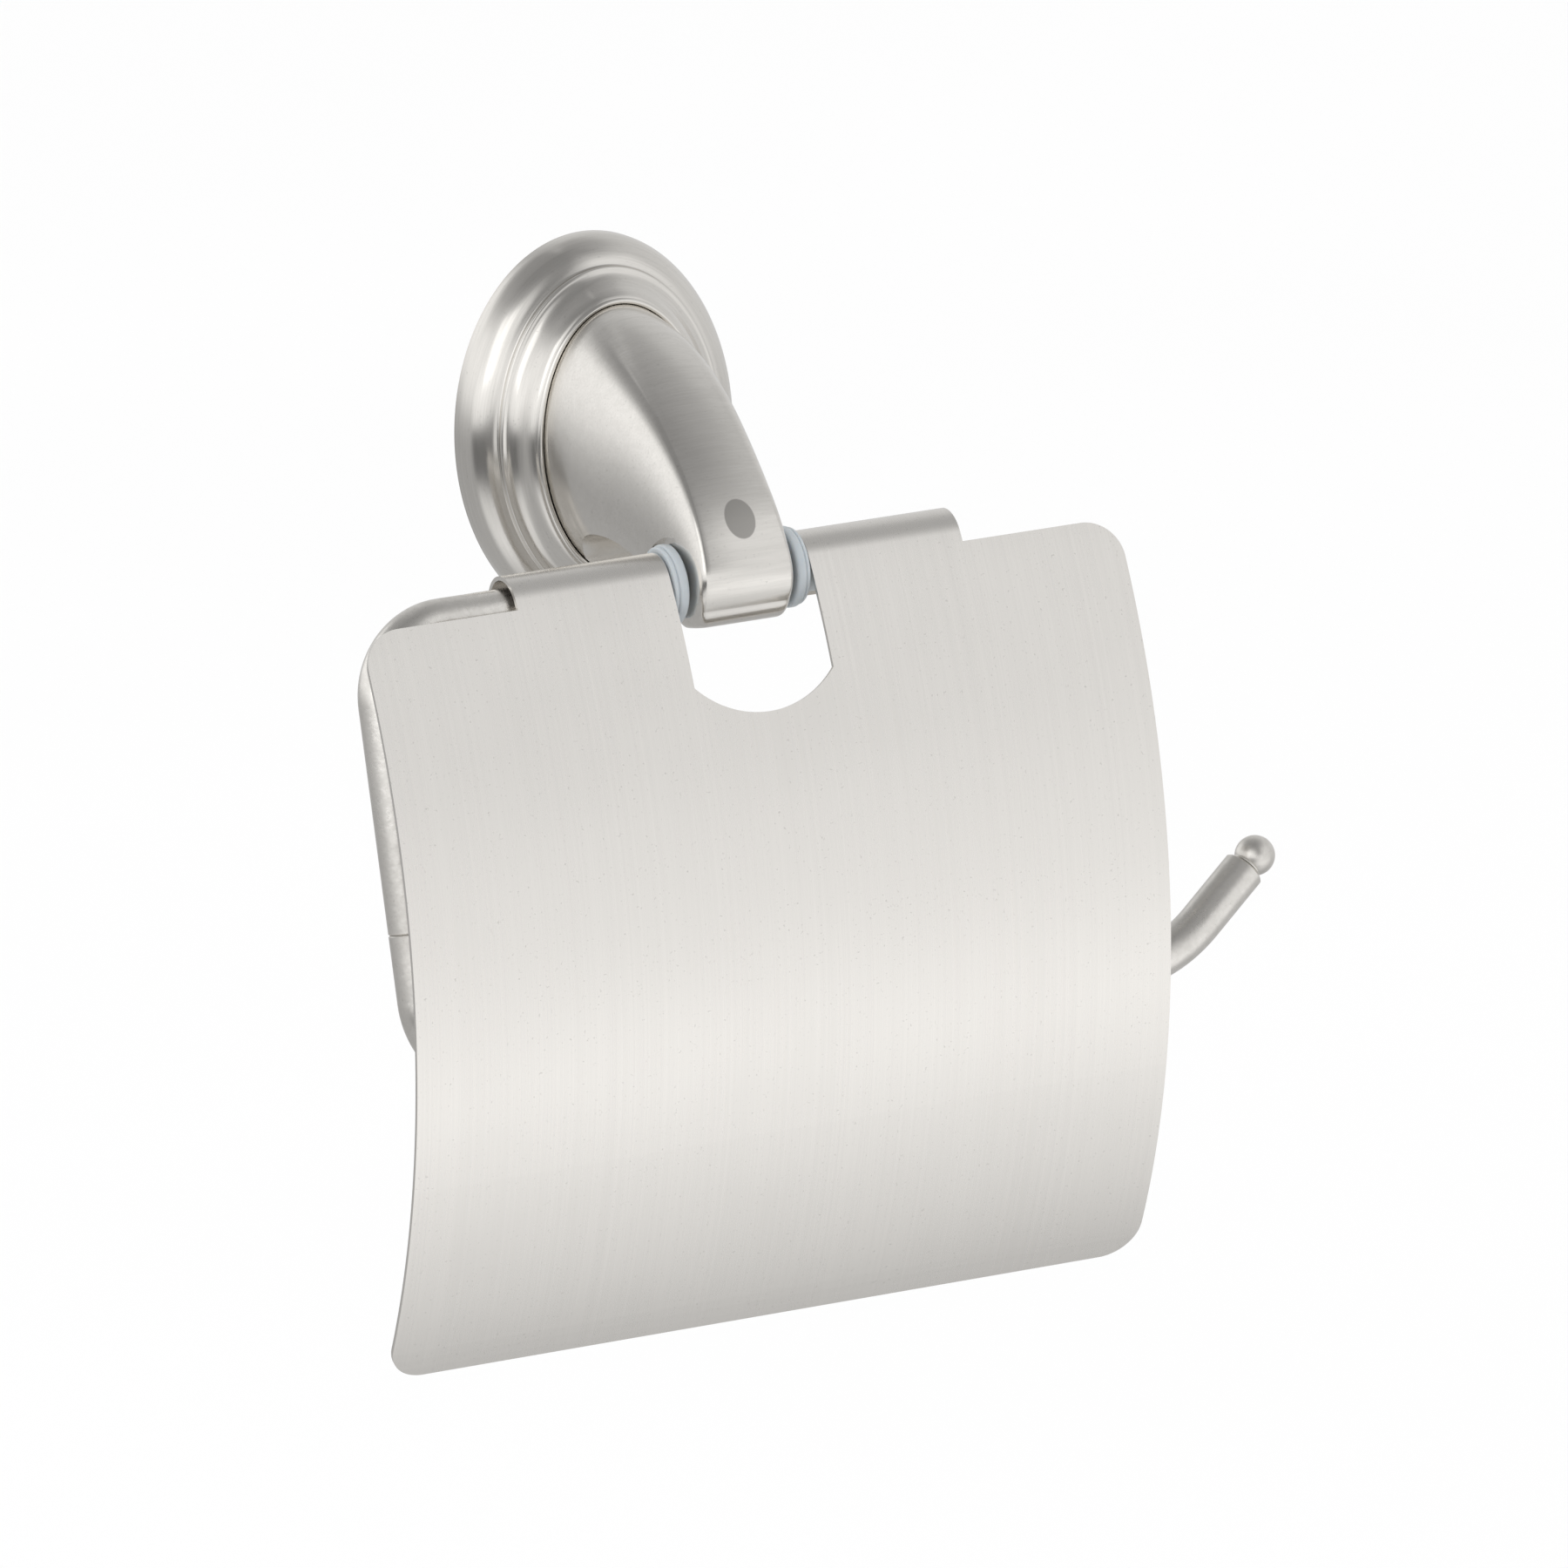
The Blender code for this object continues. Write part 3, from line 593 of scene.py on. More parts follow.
def build_bracket():
    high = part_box("wall_bracket")[1]
    a, b = high.x / MM, high.z / MM
    rings = [oval(a - i, b - i, f, 120) for f, i in BRACKET_SECTION]
    tools = [loft("well", [oval(a - i, b - i, f, 120) for f, i in BRACKET_WELL])]
    for side in (1, -1):
        for start, radius, depth in ((-1.0, 2.6, 6.0), (1.7, 3.9, 4.0)):
            flat = Matrix.Translation(at(0, start, side * SLOT_Z)) @ Matrix.Rotation(math.pi / 2, 4, "X")
            tools.append(prism(slot_outline(radius, 1.5), depth, flat))
    mesh = bevelled(cut(loft("wall_bracket", rings), *tools), 0.12)
    piece("bracket_plate", mesh, zinc(), "holder", "wall_bracket")


# ---------------------------------------------------------------- arm


# sections from above the foot to the end: the front's F and Z, the underside's F and Z, half the width,
# half of the flat front, and how creased the flat's edge is from 0 to 1
ARM_STATIONS = (
    (17.3, 21.1, 16.0, -21.2, 14.1, 5.6, 0.25),
    (22.8, 19.0, 19.5, -20.9, 13.8, 5.7, 0.6),
    (29.0, 15.9, 23.5, -20.6, 13.2, 5.8, 0.9),
    (35.8, 11.7, 28.0, -20.4, 12.2, 5.9, 1.0),
    (42.3, 6.6, 32.5, -20.5, 11.2, 6.0, 1.0),
    (48.0, 1.1, 36.5, -20.7, 10.4, 6.2, 1.0),
    (52.4, -4.4, 39.7, -21.0, 9.9, 6.6, 1.0),
    (55.3, -9.8, 41.6, -21.3, 9.7, 7.0, 1.0),
    (56.5, -13.8, 42.4, -21.5, 9.6, 7.3, 1.0),
    (56.1, -17.2, 42.8, -21.6, 9.5, 7.4, 1.0),
    (54.9, -19.9, 43.1, -21.7, 9.1, 7.3, 1.0),
)
ARM_FOOT_F, ARM_FOOT_FLARE, ARM_FOOT_FLAT = 12.45, 0.1, 5.6
ARM_END_ROUND, ARM_NOSE_ROUND, ARM_END_DROP = 1.8, 3.2, 2.6
ARM_END_START = math.radians(30)
ARCH_F, ARCH_Z, ARCH_R, ARCH_START_F = 27.3, -30.5, 18.9, 12.7
CHEEK_X, CHEEK_CLEAR = 9.25, 0.9
ARM_SCREW_BORE = 3.2
# the etched oval on the arm's front: its middle, half its width and height, and the way it faces
SPOT_MIDDLE, SPOT_HALF_X, SPOT_HALF_Z = (0.3, 53.9, -5.4), 2.6, 3.4
SPOT_FACING = Vector((0, -0.88, 0.47)).normalized()


def arm_outline(half, band, crease, front=10, side=16, back=16):
    """Right half of a section, front to back, as (x, v) with v from 1 at the front to -1."""
    edge, low = 0.955, -0.15
    points = []
    for i in range(front + 1):
        u = i / front
        points.append((band * u, band * u, 1 - (1 - edge) * u * u, math.sqrt(1 - (band * u / half) ** 2)))
    for i in range(1, side + 1):
        t = math.pi / 2 * i / side
        x = band + (half - band) * math.sin(t)
        fall = max(0.0, math.cos(t)) ** 1.3
        points.append((x, x, low + (edge - low) * fall, math.sqrt(max(0.0, 1 - (x / half) ** 2))))
    for i in range(1, back + 1):
        t = math.pi / 2 * i / back
        x = half * math.cos(t)
        points.append((half * math.cos(t) ** 0.8, x, low - (1 + low) * math.sin(t), -math.sin(t)))
    return [(crease * a + (1 - crease) * b, crease * c + (1 - crease) * d) for a, b, c, d in points]


def arm_ring(row, shrink=0.0, drop=0.0, nose=0.0):
    """One section of the arm, drawn in all round by shrink, lowered by drop, its front drawn back by nose."""
    top, under = Vector((row[0], row[1])), Vector((row[2], row[3]))
    middle, reach = (top + under) / 2, (top - under) / 2
    down = Vector((reach.y, -reach.x)).normalized() * drop
    half, size = row[4], reach.length
    outline = arm_outline(half, row[5], row[6])
    ring = []
    for x, v in outline + [(-x, v) for x, v in outline[-2:0:-1]]:
        draw = shrink + (nose - shrink) * max(v, 0.0) if nose else shrink
        spot = middle + reach * v * (size - draw) / size + down
        ring.append(at(x * (half - shrink) / half, spot.x, spot.y))
    return ring


def arm_arch():
    """The tool for the arch under the arm, drawn in the F and Z plane and run across X."""
    half_run = 20.0
    start = math.acos((ARCH_START_F - ARCH_F) / ARCH_R)
    outline = [(ARCH_START_F, ARCH_Z)]
    outline += arc(ARCH_F, ARCH_Z, ARCH_R, start, 0.0, 96)
    across = Matrix(((0, 0, -1, half_run * MM), (-1, 0, 0, 0), (0, 1, 0, 0), (0, 0, 0, 1)))
    return prism(outline, 2 * half_run, across)


def build_arm():
    s = sizes()
    foot_a, foot_b = s.rim_a - s.well - 0.05, s.rim_b - s.well - 0.05

    def foot(f, flare=0.0):
        return f, foot_b + flare, f, -foot_b - flare, foot_a + flare, ARM_FOOT_FLAT, 0.0

    rings = [arm_ring(foot(f)) for f in (s.floor + 0.3, 11.2, 12.0)]
    rows = smooth_line((foot(ARM_FOOT_F, ARM_FOOT_FLARE), *ARM_STATIONS), 9)
    rings += [arm_ring(row) for row in rows[:-1]]
    for i in range(11):
        t = ARM_END_START + (math.pi / 2 - ARM_END_START) * i / 10
        ease = 1 - math.cos(t) / math.cos(ARM_END_START)
        fall = (math.sin(t) - math.sin(ARM_END_START)) / (1 - math.sin(ARM_END_START))
        rings.append(arm_ring(ARM_STATIONS[-1], ARM_END_ROUND * ease, ARM_END_DROP * fall,
                              ARM_NOSE_ROUND * ease))
    tools = [drill(s.rod + 0.3, 40.0, at(-20, HINGE_F, HINGE_Z), (1, 0, 0))]
    for side in (-1, 1):
        cheek = at(side * CHEEK_X, HINGE_F, HINGE_Z)
        tools.append(drill(s.bush + CHEEK_CLEAR, 8.0, cheek, (side, 0, 0), 96))
    tools.append(arm_arch())
    tools.append(drill(ARM_SCREW_BORE, 13.0, at(0, 9.0, 0), (0, -1, 0)))
    tools.append(drill(GRUB_BORE, 6.0, at(0, HINGE_F, -25.0), (0, 0, 1)))
    mesh = cut(loft("arm", rings, sharp=50.0), *tools, sharp=38.0)
    look = etched_nickel("arm_nickel", lambda tree: stretched(tree, (70, 2600, 2600)),
                         at(*SPOT_MIDDLE), SPOT_FACING, SPOT_HALF_X * MM, SPOT_HALF_Z * MM,
                         rough=-0.12, spread=0.08, lines=0.08)
    piece("arm_casting", mesh, look, "holder", "arm")


# ---------------------------------------------------------------- bars


TOP_BEND, LOW_BEND, TIP_BEND, BEND_STEPS = 12.1, 13.7, 26.0, 28
TIP_X, TIP_ANGLE, TIP_LENGTH = 59.5, math.radians(39.2), 12.0
SEAM_GAP = 0.08
STUD_BORE, STUD_DEPTH, STUD_START = 1.8, 6.0, 4.4


def wire_point(x, w):
    """A point of the plane the wire is bent in: x along the hinge line, w down the tilted plane."""
    tilt = sizes().tilt
    return at(x, HINGE_F + w * math.sin(tilt), HINGE_Z - w * math.cos(tilt))


def swept(name, route, radius, ends=(0.35, 0.35), steps=48):
    """A round bar along (x, w) points, its ends chamfered by the given amounts."""
    points = [wire_point(*p) for p in route]
    side = (wire_point(0, 1) - wire_point(0, 0)).cross(Vector((1, 0, 0))).normalized()
    stations = []
    for i, p in enumerate(points):
        before, after = points[max(i - 1, 0)], points[min(i + 1, len(points) - 1)]
        stations.append((p, (after - before).normalized(), radius))
    first, last = stations[0], stations[-1]
    head = [(first[0], first[1], radius - ends[0]), (first[0] + first[1] * ends[0] * MM, first[1], radius)]
    tail = [(last[0] - last[1] * ends[1] * MM, last[1], radius), (last[0], last[1], radius - ends[1])]
    rings = []
    for p, along, r in head + stations[1:-1] + tail:
        up = along.cross(side)
        rings.append([p + (side * math.cos(t) + up * math.sin(t)) * r * MM
                      for t in (2 * math.pi * i / steps for i in range(steps))])
    return loft(name, rings, sharp=28.0)


def hanger_route():
    s = sizes()
    route = [(s.bar_end, 0.0), (20.0, 0.0), (0.0, 0.0), (-25.0, 0.0), (-46.0, 0.0)]
    route += arc(s.leg_x + TOP_BEND, TOP_BEND, TOP_BEND, -math.pi / 2, -math.pi, BEND_STEPS)
    return route + [(s.leg_x, 24.0), (s.leg_x, 40.0), (s.leg_x, s.seam)]


def roll_route():
    s = sizes()
    route = [(s.leg_x, s.seam + SEAM_GAP), (s.leg_x, s.seam + 4.0)]
    route += arc(s.leg_x + LOW_BEND, s.drop - LOW_BEND, LOW_BEND, math.pi, math.pi / 2, BEND_STEPS)
    route += [(-30.0, s.drop), (0.0, s.drop), (30.0, s.drop)]
    route += arc(TIP_X, s.drop - TIP_BEND, TIP_BEND, math.pi / 2, math.pi / 2 - TIP_ANGLE, 20)
    x, w = route[-1]
    for part in (0.4, 1.0):
        run = part * TIP_LENGTH
        route.append((x + run * math.cos(TIP_ANGLE), w - run * math.sin(TIP_ANGLE)))
    return route


def end_of(route):
    """The last point of a route and the direction it points in."""
    last, before = wire_point(*route[-1]), wire_point(*route[-2])
    return last, (last - before).normalized()


def stud_bore(end, away):
    """The tool for a stud's hole in the bar's end, which points away."""
    return drill(STUD_BORE, STUD_DEPTH, end - away * STUD_START * MM, away)


def bar_nickel():
    return nickel("bar_nickel", lambda tree: stretched(tree, (1100, 1100, 1100)), rough=-0.03, spread=0.16,
                  patch=0.5, lines=0.9, clean=(0.90, 0.875, 0.835), dull=(0.74, 0.718, 0.68))


def build_bars():
    s = sizes()
    end, away = end_of(hanger_route())
    hanger = cut(swept("hanger_bar", hanger_route(), s.rod, (0.4, 0.18)), stud_bore(end, away), sharp=28.0)
    piece("hanger_rod", hanger, bar_nickel(), "holder", "hanger_bar")
    start, back = end_of(roll_route()[1::-1])
    tip, out = end_of(roll_route())
    roll = cut(swept("roll_bar", roll_route(), s.rod, (0.18, 0.3)), stud_bore(start, back),
               stud_bore(tip, out), sharp=28.0)
    piece("roll_rod", roll, bar_nickel(), "holder", "roll_bar")


def build_ball():
    r = sizes().ball
    tip, out = end_of(roll_route())
    centre, neck_top = 2.75, 0.78
    profile = [(0, -3.8), (1.2, -3.8), (1.5, -3.5), (1.5, 0.3)]
    profile += [(2.35, 0.3), (2.5, 0.36), (2.55, 0.5), (2.52, 0.62)]
    start = math.asin((neck_top - centre) / r)
    for i in range(28):
        t = start + (math.pi / 2 - start) * i / 28
        profile.append((r * math.cos(t), centre + r * math.sin(t)))
    profile.append((0, centre + r))
    mesh = turned("ball_tip", profile, frame_along(tip, out), 64, sharp=50.0)
    piece("tip_ball", mesh, bar_nickel(), "holder", "ball_tip")


# ---------------------------------------------------------------- screws


def threaded(radius, start, end, pitch=0.7, depth=0.28):
    """(radius, height) points of a thread's ridges between two heights."""
    out = []
    h = start
    while h + pitch <= end:
        out += [(radius - depth, h), (radius - depth, h + 0.12 * pitch), (radius, h + 0.45 * pitch),
                (radius, h + 0.6 * pitch), (radius - depth, h + 0.95 * pitch)]
        h += pitch
    return out


def hex_tool(radius, depth, origin, axis):
    """The tool for a hexagon socket."""
    return drill(radius, depth, origin, axis, 6)


def set_screw(name, node, length_mm, origin, axis):
    """A grub screw with a hexagon socket at origin, its thread along axis."""
    profile = [(0, 0), (1.55, 0), (1.75, 0.15)] + threaded(2.0, 0.2, length_mm - 0.55)
    profile += [(1.45, length_mm - 0.2), (1.2, length_mm), (0.9, length_mm - 0.05), (0, length_mm - 0.25)]
    mesh = turned(node, profile, frame_along(origin, axis), 48, sharp=40.0)
    start = origin - Vector(axis).normalized() * 0.5 * MM
    piece(name, cut(mesh, hex_tool(1.1, 1.9, start, axis)), zinc(), "holder", node)


def build_screws():
    s = sizes()
    low = at(0, ROSETTE_GRUB_F, -s.rim_b + 0.5)
    set_screw("rosette_set_screw", "rosette_grub_screw", 4.2, low, (0, 0, 1))
    set_screw("bar_set_screw", "bar_grub_screw", 2.6, at(0, HINGE_F, -22.5), (0, 0, 1))
    profile = [(0, -3.6), (3.5, -3.6), (4.2, -3.2), (4.65, -2.4), (4.8, -1.2), (4.8, -0.25)]
    profile += [(4.6, 0), (2.6, 0)] + threaded(2.9, 0.4, 12.2) + [(2.3, 12.7), (2.1, 12.9), (0, 12.9)]
    under = 8.0
    mesh = turned("arm_screw", profile, frame_along(at(0, under, 0), (0, -1, 0)), 64, sharp=40.0)
    mesh = cut(mesh, hex_tool(2.3, 2.4, at(0, under - 4.1, 0), (0, -1, 0)))
    piece("arm_button_screw", mesh, zinc(), "holder", "arm_screw")
    along = wire_point(0, 1) - wire_point(0, 0)
    profile = [(0, -4.0), (1.0, -4.0), (1.2, -3.8)] + threaded(1.5, -3.7, 3.7, 0.5, 0.2)
    profile += [(1.2, 3.8), (1.0, 4.0), (0, 4.0)]
    middle = wire_point(s.leg_x, s.seam + SEAM_GAP / 2)
    mesh = turned("leg_stud", profile, frame_along(middle, along), 32, sharp=40.0)
    piece("leg_joint_stud", mesh, zinc(), "holder", "leg_stud")


# ---------------------------------------------------------------- bushes


# (inset from the rim, distance from the arm's middle): the wide flange, a groove and the thin flange
BUSH_FLANGES = (
    (0.7, 9.6), (0.35, 9.66), (0.1, 9.85), (0.0, 10.15), (0.0, 10.85), (0.06, 11.1), (0.25, 11.25),
    (0.42, 11.3), (0.42, 11.42), (0.3, 11.5), (0.3, 11.8), (0.42, 11.98), (0.65, 12.05),
)


def build_bushes():
    s = sizes()
    bore, rim, tube = s.rod + 0.3, s.bush, 4.5
    line = [(bore, 9.75), (bore + 0.15, 9.6)]
    line += [(rim - inset, x) for inset, x in BUSH_FLANGES]
    line += [(tube, 12.05), (tube, 20.6), (tube - 0.15, 20.9), (tube - 0.35, 21.0)]
    line += [(bore + 0.1, 21.0), (bore, 20.9)]
    n = s.turns
    for name, node, side in (("left_bush", "bush_left", -1), ("right_bush", "bush_right", 1)):
        rings = [[at(side * x, HINGE_F + r * math.cos(t), HINGE_Z + r * math.sin(t))
                  for t in (2 * math.pi * i / n for i in range(n))] for r, x in line]
        mesh = loft(node, rings, closed=True, sharp=40.0)
        piece(name, mesh, frosted_plastic(), "holder", node)


# ---------------------------------------------------------------- cover


CURL_IN_X, CURL_OUT_X = 12.4, 39.7
LEAVE = math.radians(27.2)
CURL_END = math.radians(262.0)
SHOULDER = 1.6
NOTCH_DEPTH, NOTCH_R, NOTCH_RISE = 23.9, 16.85, 4.0


def cover_spot(along, depth=0.0):
    """(F, Z) on the cover from the hinge line, along the sheet and in from its outer face."""
    s = sizes()
    turn = LEAVE - along / s.cover_r
    f = (s.curl - s.cover_r) * math.cos(LEAVE) + (s.cover_r - depth) * math.cos(turn)
    z = (s.curl - s.cover_r) * math.sin(LEAVE) + (s.cover_r - depth) * math.sin(turn)
    return f, z


def cover_plane(along):
    """A matrix on the cover: X across, Y up along the sheet, Z out of its face."""
    turn = LEAVE - along / sizes().cover_r
    f, z = cover_spot(along)
    up, out = Vector((0, math.sin(turn), math.cos(turn))), Vector((0, -math.cos(turn), math.sin(turn)))
    basis = Matrix((Vector((1, 0, 0)), up, out)).transposed().to_4x4()
    return Matrix.Translation(HINGE * MM + Vector((0, -f, z)) * MM) @ basis


def cover_tools(half_width):
    """The tools that free the knuckles, cut the notch and round the corners."""
    s = sizes()
    tools = []
    top = cover_plane(SHOULDER) @ Matrix.Translation((0, 0, -0.040))
    for x0, x1 in ((-80, -CURL_OUT_X), (CURL_OUT_X, 80)):
        tools.append(prism(((x0, 0), (x1, 0), (x1, 30), (x0, 30)), 60.0, top))
        flat = Matrix.Translation(HINGE * MM + Vector((0, 0, -0.010)))
        tools.append(prism(((x0, -4), (x1, -4), (x1, 10), (x0, 10)), 12.0, flat))
    outline = [(-CURL_IN_X, 60.0)]
    for i in range(41):
        t = math.asin(CURL_IN_X / NOTCH_R) * (i / 20 - 1)
        outline.append((NOTCH_R * math.sin(t), NOTCH_R * (1 - math.cos(t)) - NOTCH_RISE))
    outline.append((CURL_IN_X, 60.0))
    notch = cover_plane(NOTCH_DEPTH - NOTCH_RISE) @ Matrix.Translation((0, 0, -0.050))
    tools.append(prism(outline, 80.0, notch))
    for up, along in ((1, SHOULDER), (-1, s.cover_length)):
        for side in (-1, 1):
            cx = half_width - s.corner
            corner = [(side * (half_width + 1), up * 1.0), (side * (half_width + 1), -up * s.corner)]
            for i in range(25):
                t = math.pi / 2 * i / 24
                corner.append((side * (cx + s.corner * math.cos(t)), up * s.corner * (math.sin(t) - 1)))
            corner.append((side * cx, up * 1.0))
            tools.append(prism(corner, 12.0, cover_plane(along) @ Matrix.Translation((0, 0, -0.006))))
    return tools


def build_cover():
    s = sizes()
    half_width = COVER_BOX[1].x / MM
    curl_steps, sheet_steps = 56, 72
    outer, inner = [], []
    for i in range(curl_steps + 1):
        t = CURL_END + (LEAVE - CURL_END) * i / curl_steps
        outer.append((s.curl * math.cos(t), s.curl * math.sin(t)))
        inner.append(((s.curl - s.sheet) * math.cos(t), (s.curl - s.sheet) * math.sin(t)))
    for i in range(1, sheet_steps + 1):
        outer.append(cover_spot(s.cover_length * i / sheet_steps))
        inner.append(cover_spot(s.cover_length * i / sheet_steps, s.sheet))
    loop = outer + inner[::-1]
    n, half = len(loop), len(outer)
    points = [HINGE * MM + Vector((x, -f, z)) * MM for x in (-half_width, half_width) for f, z in loop]
    faces = [(i, (i + 1) % n, n + (i + 1) % n, n + i) for i in range(n)]
    for base in (0, n):
        faces += [(base + i, base + i + 1, base + n - 2 - i, base + n - 1 - i) for i in range(half - 1)]
    mesh = bevelled(cut(mesh_of("cover_flap", points, faces), *cover_tools(half_width), sharp=30.0), 0.09)
    look = nickel("cover_nickel", lambda tree: stretched(tree, (5200, 11, 11)), rough=-0.04, spread=0.05,
                  patch=0.12, lines=0.025, clean=(0.875, 0.851, 0.814), dull=(0.83, 0.807, 0.772))
    piece("cover_sheet", mesh, look, "cover", "cover_flap")


# ---------------------------------------------------------------- stage


# (height in degrees, brightness) for each side of the studio, from behind on the left to the right
STUDIO = {
    "back_left": (
        (-90, 0.43), (-60, 0.46), (-30, 0.44), (-10, 0.40), (-4, 0.52), (5, 0.92), (14, 1.06), (28, 1.04),
        (35, 0.74), (44, 0.45), (58, 0.33), (90, 0.29)),
    "left": (
        (-90, 0.44), (-62, 0.60), (-42, 0.88), (-28, 0.76), (-20, 0.16), (-7, 0.14), (-3, 0.92), (8, 1.14),
        (20, 1.00), (31, 0.90), (39, 0.70), (46, 0.40), (58, 0.27), (90, 0.26)),
    "front": (
        (-90, 0.44), (-60, 0.62), (-38, 0.92), (-10, 1.00), (6, 0.96), (14, 0.36), (24, 0.26), (45, 0.30),
        (66, 0.27), (90, 0.26)),
    "quarter": (
        (-90, 0.50), (-68, 0.64), (-46, 0.88), (-28, 1.10), (-10, 0.90), (10, 0.86), (36, 0.86), (45, 0.64),
        (54, 0.48), (66, 0.34), (90, 0.26)),
    "right": (
        (-90, 0.44), (-60, 0.47), (-10, 0.66), (8, 0.72), (40, 0.64), (50, 0.58), (60, 0.45), (70, 0.39),
        (82, 0.32), (90, 0.30)),
}
# where each side fades into the next, in degrees round from the front
FADES = (("left", -96, -82), ("front", -26, -12), ("quarter", 6, 24), ("right", 52, 75))
WALL_FADE, WALL_LEVEL = (164, 180), (0.50, 0.50, 0.50)
EVEN_LIGHT = 1.15
FLOOR_HALF, FLOOR_Z = 6.0, -0.42
KEY_PLACE, KEY_SIZE, KEY_WATTS = Vector((-1.3, -0.9, 0.7)), 0.9, 1.2
CAMERA_PLACE, CAMERA_LENS = (-1.30296, -2.74923, 0.66123), 441.04
CAMERA_TURN = (76.6311, 2.6544, -26.5255)  # degrees about X, Y and Z


def heights_ramp(tree, height, stops):
    """Brightness by height, which runs from 0 straight down to 1 straight up."""
    ramp = tree.nodes.new("ShaderNodeValToRGB")
    tree.links.new(height, ramp.inputs["Fac"])
    elements = ramp.color_ramp.elements
    while len(elements) < len(stops):
        elements.new(0.5)
    for element, (degrees, level) in zip(elements, stops):
        element.position = (degrees + 90) / 180
        element.color = (level, level, level, 1.0)
    return ramp.outputs["Color"]


def sky():
    """The studio: soft panels and dim gaps for the metal to show, even light for all else."""
    world = bpy.data.worlds.new("studio")
    bpy.context.scene.world = world
    world.use_nodes = True
    tree = world.node_tree
    tree.nodes.clear()
    coords = tree.nodes.new("ShaderNodeTexCoord")
    parts = tree.nodes.new("ShaderNodeSeparateXYZ")
    tree.links.new(coords.outputs["Generated"], parts.inputs[0])
    rise = math_node(tree, "ARCSINE", parts.outputs["Z"])
    height = range_node(tree, rise, -math.pi / 2, math.pi / 2, 0.0, 1.0)
    ahead = math_node(tree, "MULTIPLY", parts.outputs["Y"], -1.0)
    bearing = math_node(tree, "ARCTAN2", parts.outputs["X"], ahead)
    turn = math_node(tree, "MULTIPLY", bearing, 180 / math.pi)
    shade = {side: heights_ramp(tree, height, stops) for side, stops in STUDIO.items()}
    level = shade["back_left"]
    for side, start, end in FADES:
        level = mix_colour(tree, range_node(tree, turn, start, end, 0.0, 1.0), level, shade[side])
    wall = math_node(tree, "ABSOLUTE", turn)
    level = mix_colour(tree, range_node(tree, wall, *WALL_FADE, 0.0, 1.0), level, WALL_LEVEL)
    shown = tree.nodes.new("ShaderNodeBackground")
    tree.links.new(level, shown.inputs["Color"])
    even = tree.nodes.new("ShaderNodeBackground")
    even.inputs["Strength"].default_value = EVEN_LIGHT
    even.inputs["Color"].default_value = (1, 1, 1, 1)
    rays = tree.nodes.new("ShaderNodeLightPath")
    plain = math_node(tree, "MAXIMUM", rays.outputs["Is Camera Ray"], rays.outputs["Is Diffuse Ray"])
    both = tree.nodes.new("ShaderNodeMixShader")
    tree.links.new(plain, both.inputs["Fac"])
    tree.links.new(shown.outputs[0], both.inputs[1])
    tree.links.new(even.outputs[0], both.inputs[2])
    out = tree.nodes.new("ShaderNodeOutputWorld")
    tree.links.new(both.outputs[0], out.inputs["Surface"])


def add_floor():
    mesh = bpy.data.meshes.new("floor")
    corners = [(x * FLOOR_HALF, y * FLOOR_HALF, FLOOR_Z) for x, y in ((-1, -1), (1, -1), (1, 1), (-1, 1))]
    mesh.from_pydata(corners, [], [(0, 1, 2, 3)])
    floor = placed("floor", mesh)
    floor.visible_glossy = False
    mat, tree, shader = blank("pale_floor", 0.0, 0.9)
    speck = noise_node(tree, stretched(tree, (3, 3, 3)), 1.0, 2.0)
    pale = finish().floor
    tree.links.new(mix_colour(tree, speck, pale, tuple(0.985 * c for c in pale)), shader.inputs["Base Color"])
    mesh.materials.append(mat)


def add_key():
    light = bpy.data.lights.new("soft_key", "AREA")
    light.shape, light.size, light.size_y, light.energy = "RECTANGLE", KEY_SIZE, KEY_SIZE, KEY_WATTS
    key = placed("soft_key", light)
    aim = (-KEY_PLACE).to_track_quat("-Z", "Y").to_matrix().to_4x4()
    key.matrix_world = Matrix.Translation(KEY_PLACE) @ aim


def add_camera():
    camera = bpy.data.cameras.new("camera")
    camera.lens, camera.sensor_width, camera.clip_end = CAMERA_LENS, 36.0, 50.0
    obj = placed("camera", camera)
    turn = Euler([math.radians(a) for a in CAMERA_TURN]).to_matrix().to_4x4()
    obj.matrix_world = Matrix.Translation(CAMERA_PLACE) @ turn
    bpy.context.scene.camera = obj


def build_stage():
    bpy.context.scene.view_settings.view_transform = "Standard"
    add_floor()
    sky()
    add_key()
    add_camera()


# ---------------------------------------------------------------- operators


class HOLDER_OT_bracket(Operator):
    """Build the hidden bracket that the rosette sits over"""
    bl_idname = "holder.bracket"
    bl_label = "Wall Bracket"

    def execute(self, context):
        build_bracket()
        return {"FINISHED"}


class HOLDER_OT_rosette(Operator):
    """Build the oval stepped rosette"""
    bl_idname = "holder.rosette"
    bl_label = "Rosette"

    def execute(self, context):
        build_rosette()
        return {"FINISHED"}


class HOLDER_OT_arm(Operator):
    """Build the curved arm between the rosette and the upper bar"""
    bl_idname = "holder.arm"
    bl_label = "Arm"

    def execute(self, context):
        build_arm()
        return {"FINISHED"}


class HOLDER_OT_bars(Operator):
    """Build the upper bar and the roll bar"""
    bl_idname = "holder.bars"
    bl_label = "Bars"

    def execute(self, context):
        build_bars()
        return {"FINISHED"}


class HOLDER_OT_ball(Operator):
    """Build the ball on the roll bar's end"""
    bl_idname = "holder.ball"
    bl_label = "Ball Tip"

    def execute(self, context):
        build_ball()
        return {"FINISHED"}


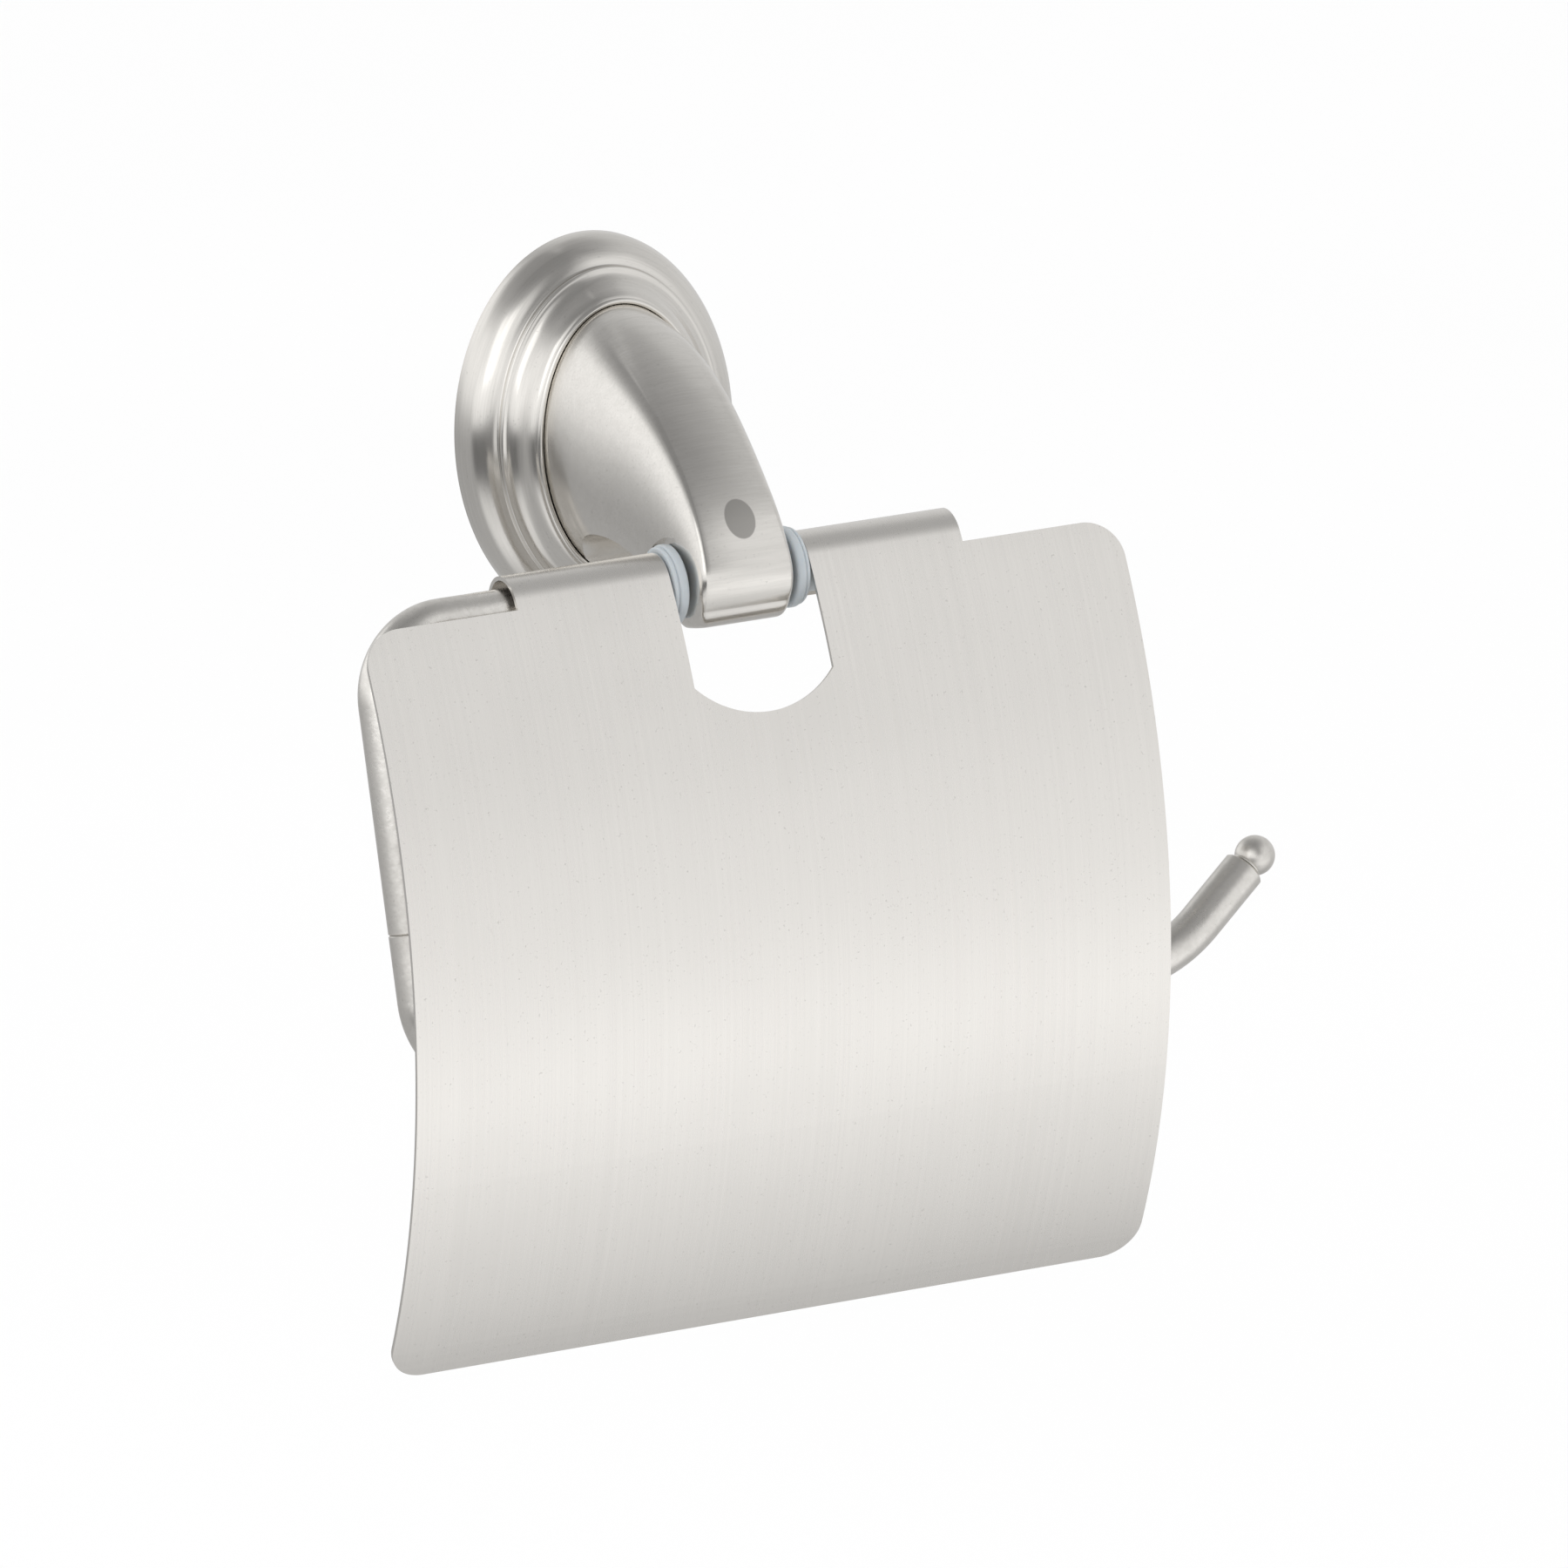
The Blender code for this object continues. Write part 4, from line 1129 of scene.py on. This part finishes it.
class HOLDER_OT_screws(Operator):
    """Build the screws and the threaded stud"""
    bl_idname = "holder.screws"
    bl_label = "Screws"

    def execute(self, context):
        build_screws()
        return {"FINISHED"}


class HOLDER_OT_bushes(Operator):
    """Build the two flanged plastic bushes"""
    bl_idname = "holder.bushes"
    bl_label = "Bushes"

    def execute(self, context):
        build_bushes()
        return {"FINISHED"}


class HOLDER_OT_cover(Operator):
    """Build the hinged cover sheet"""
    bl_idname = "holder.cover"
    bl_label = "Cover"

    def execute(self, context):
        build_cover()
        return {"FINISHED"}


class HOLDER_OT_stage(Operator):
    """Build the floor, the studio light and the camera"""
    bl_idname = "holder.stage"
    bl_label = "Stage"

    def execute(self, context):
        build_stage()
        return {"FINISHED"}


OPERATORS = (
    HOLDER_OT_bracket, HOLDER_OT_rosette, HOLDER_OT_arm, HOLDER_OT_bars, HOLDER_OT_ball, HOLDER_OT_screws,
    HOLDER_OT_bushes, HOLDER_OT_cover, HOLDER_OT_stage,
)


class HOLDER_PT_panel(Panel):
    """Sizes, colours and buttons for each piece of the holder"""
    bl_idname = "HOLDER_PT_panel"
    bl_label = "Toilet Paper Holder"
    bl_space_type = "VIEW_3D"
    bl_region_type = "UI"
    bl_category = "Holder"

    def draw(self, context):
        layout = self.layout
        for group in (context.scene.holder_sizes, context.scene.holder_finish):
            box = layout.box()
            for name in group.__annotations__:
                box.prop(group, name)
        for cls in OPERATORS:
            layout.operator(cls.bl_idname)


CLASSES = (HolderSizes, HolderFinish, *OPERATORS, HOLDER_PT_panel)


def register():
    for cls in CLASSES:
        bpy.utils.register_class(cls)
    bpy.types.Scene.holder_sizes = PointerProperty(type=HolderSizes)
    bpy.types.Scene.holder_finish = PointerProperty(type=HolderFinish)


def unregister():
    del bpy.types.Scene.holder_finish
    del bpy.types.Scene.holder_sizes
    for cls in reversed(CLASSES):
        bpy.utils.unregister_class(cls)


def main():
    register()
    for cls in OPERATORS:
        getattr(bpy.ops.holder, cls.bl_idname.partition(".")[2])()


if __name__ == "__main__":
    main()
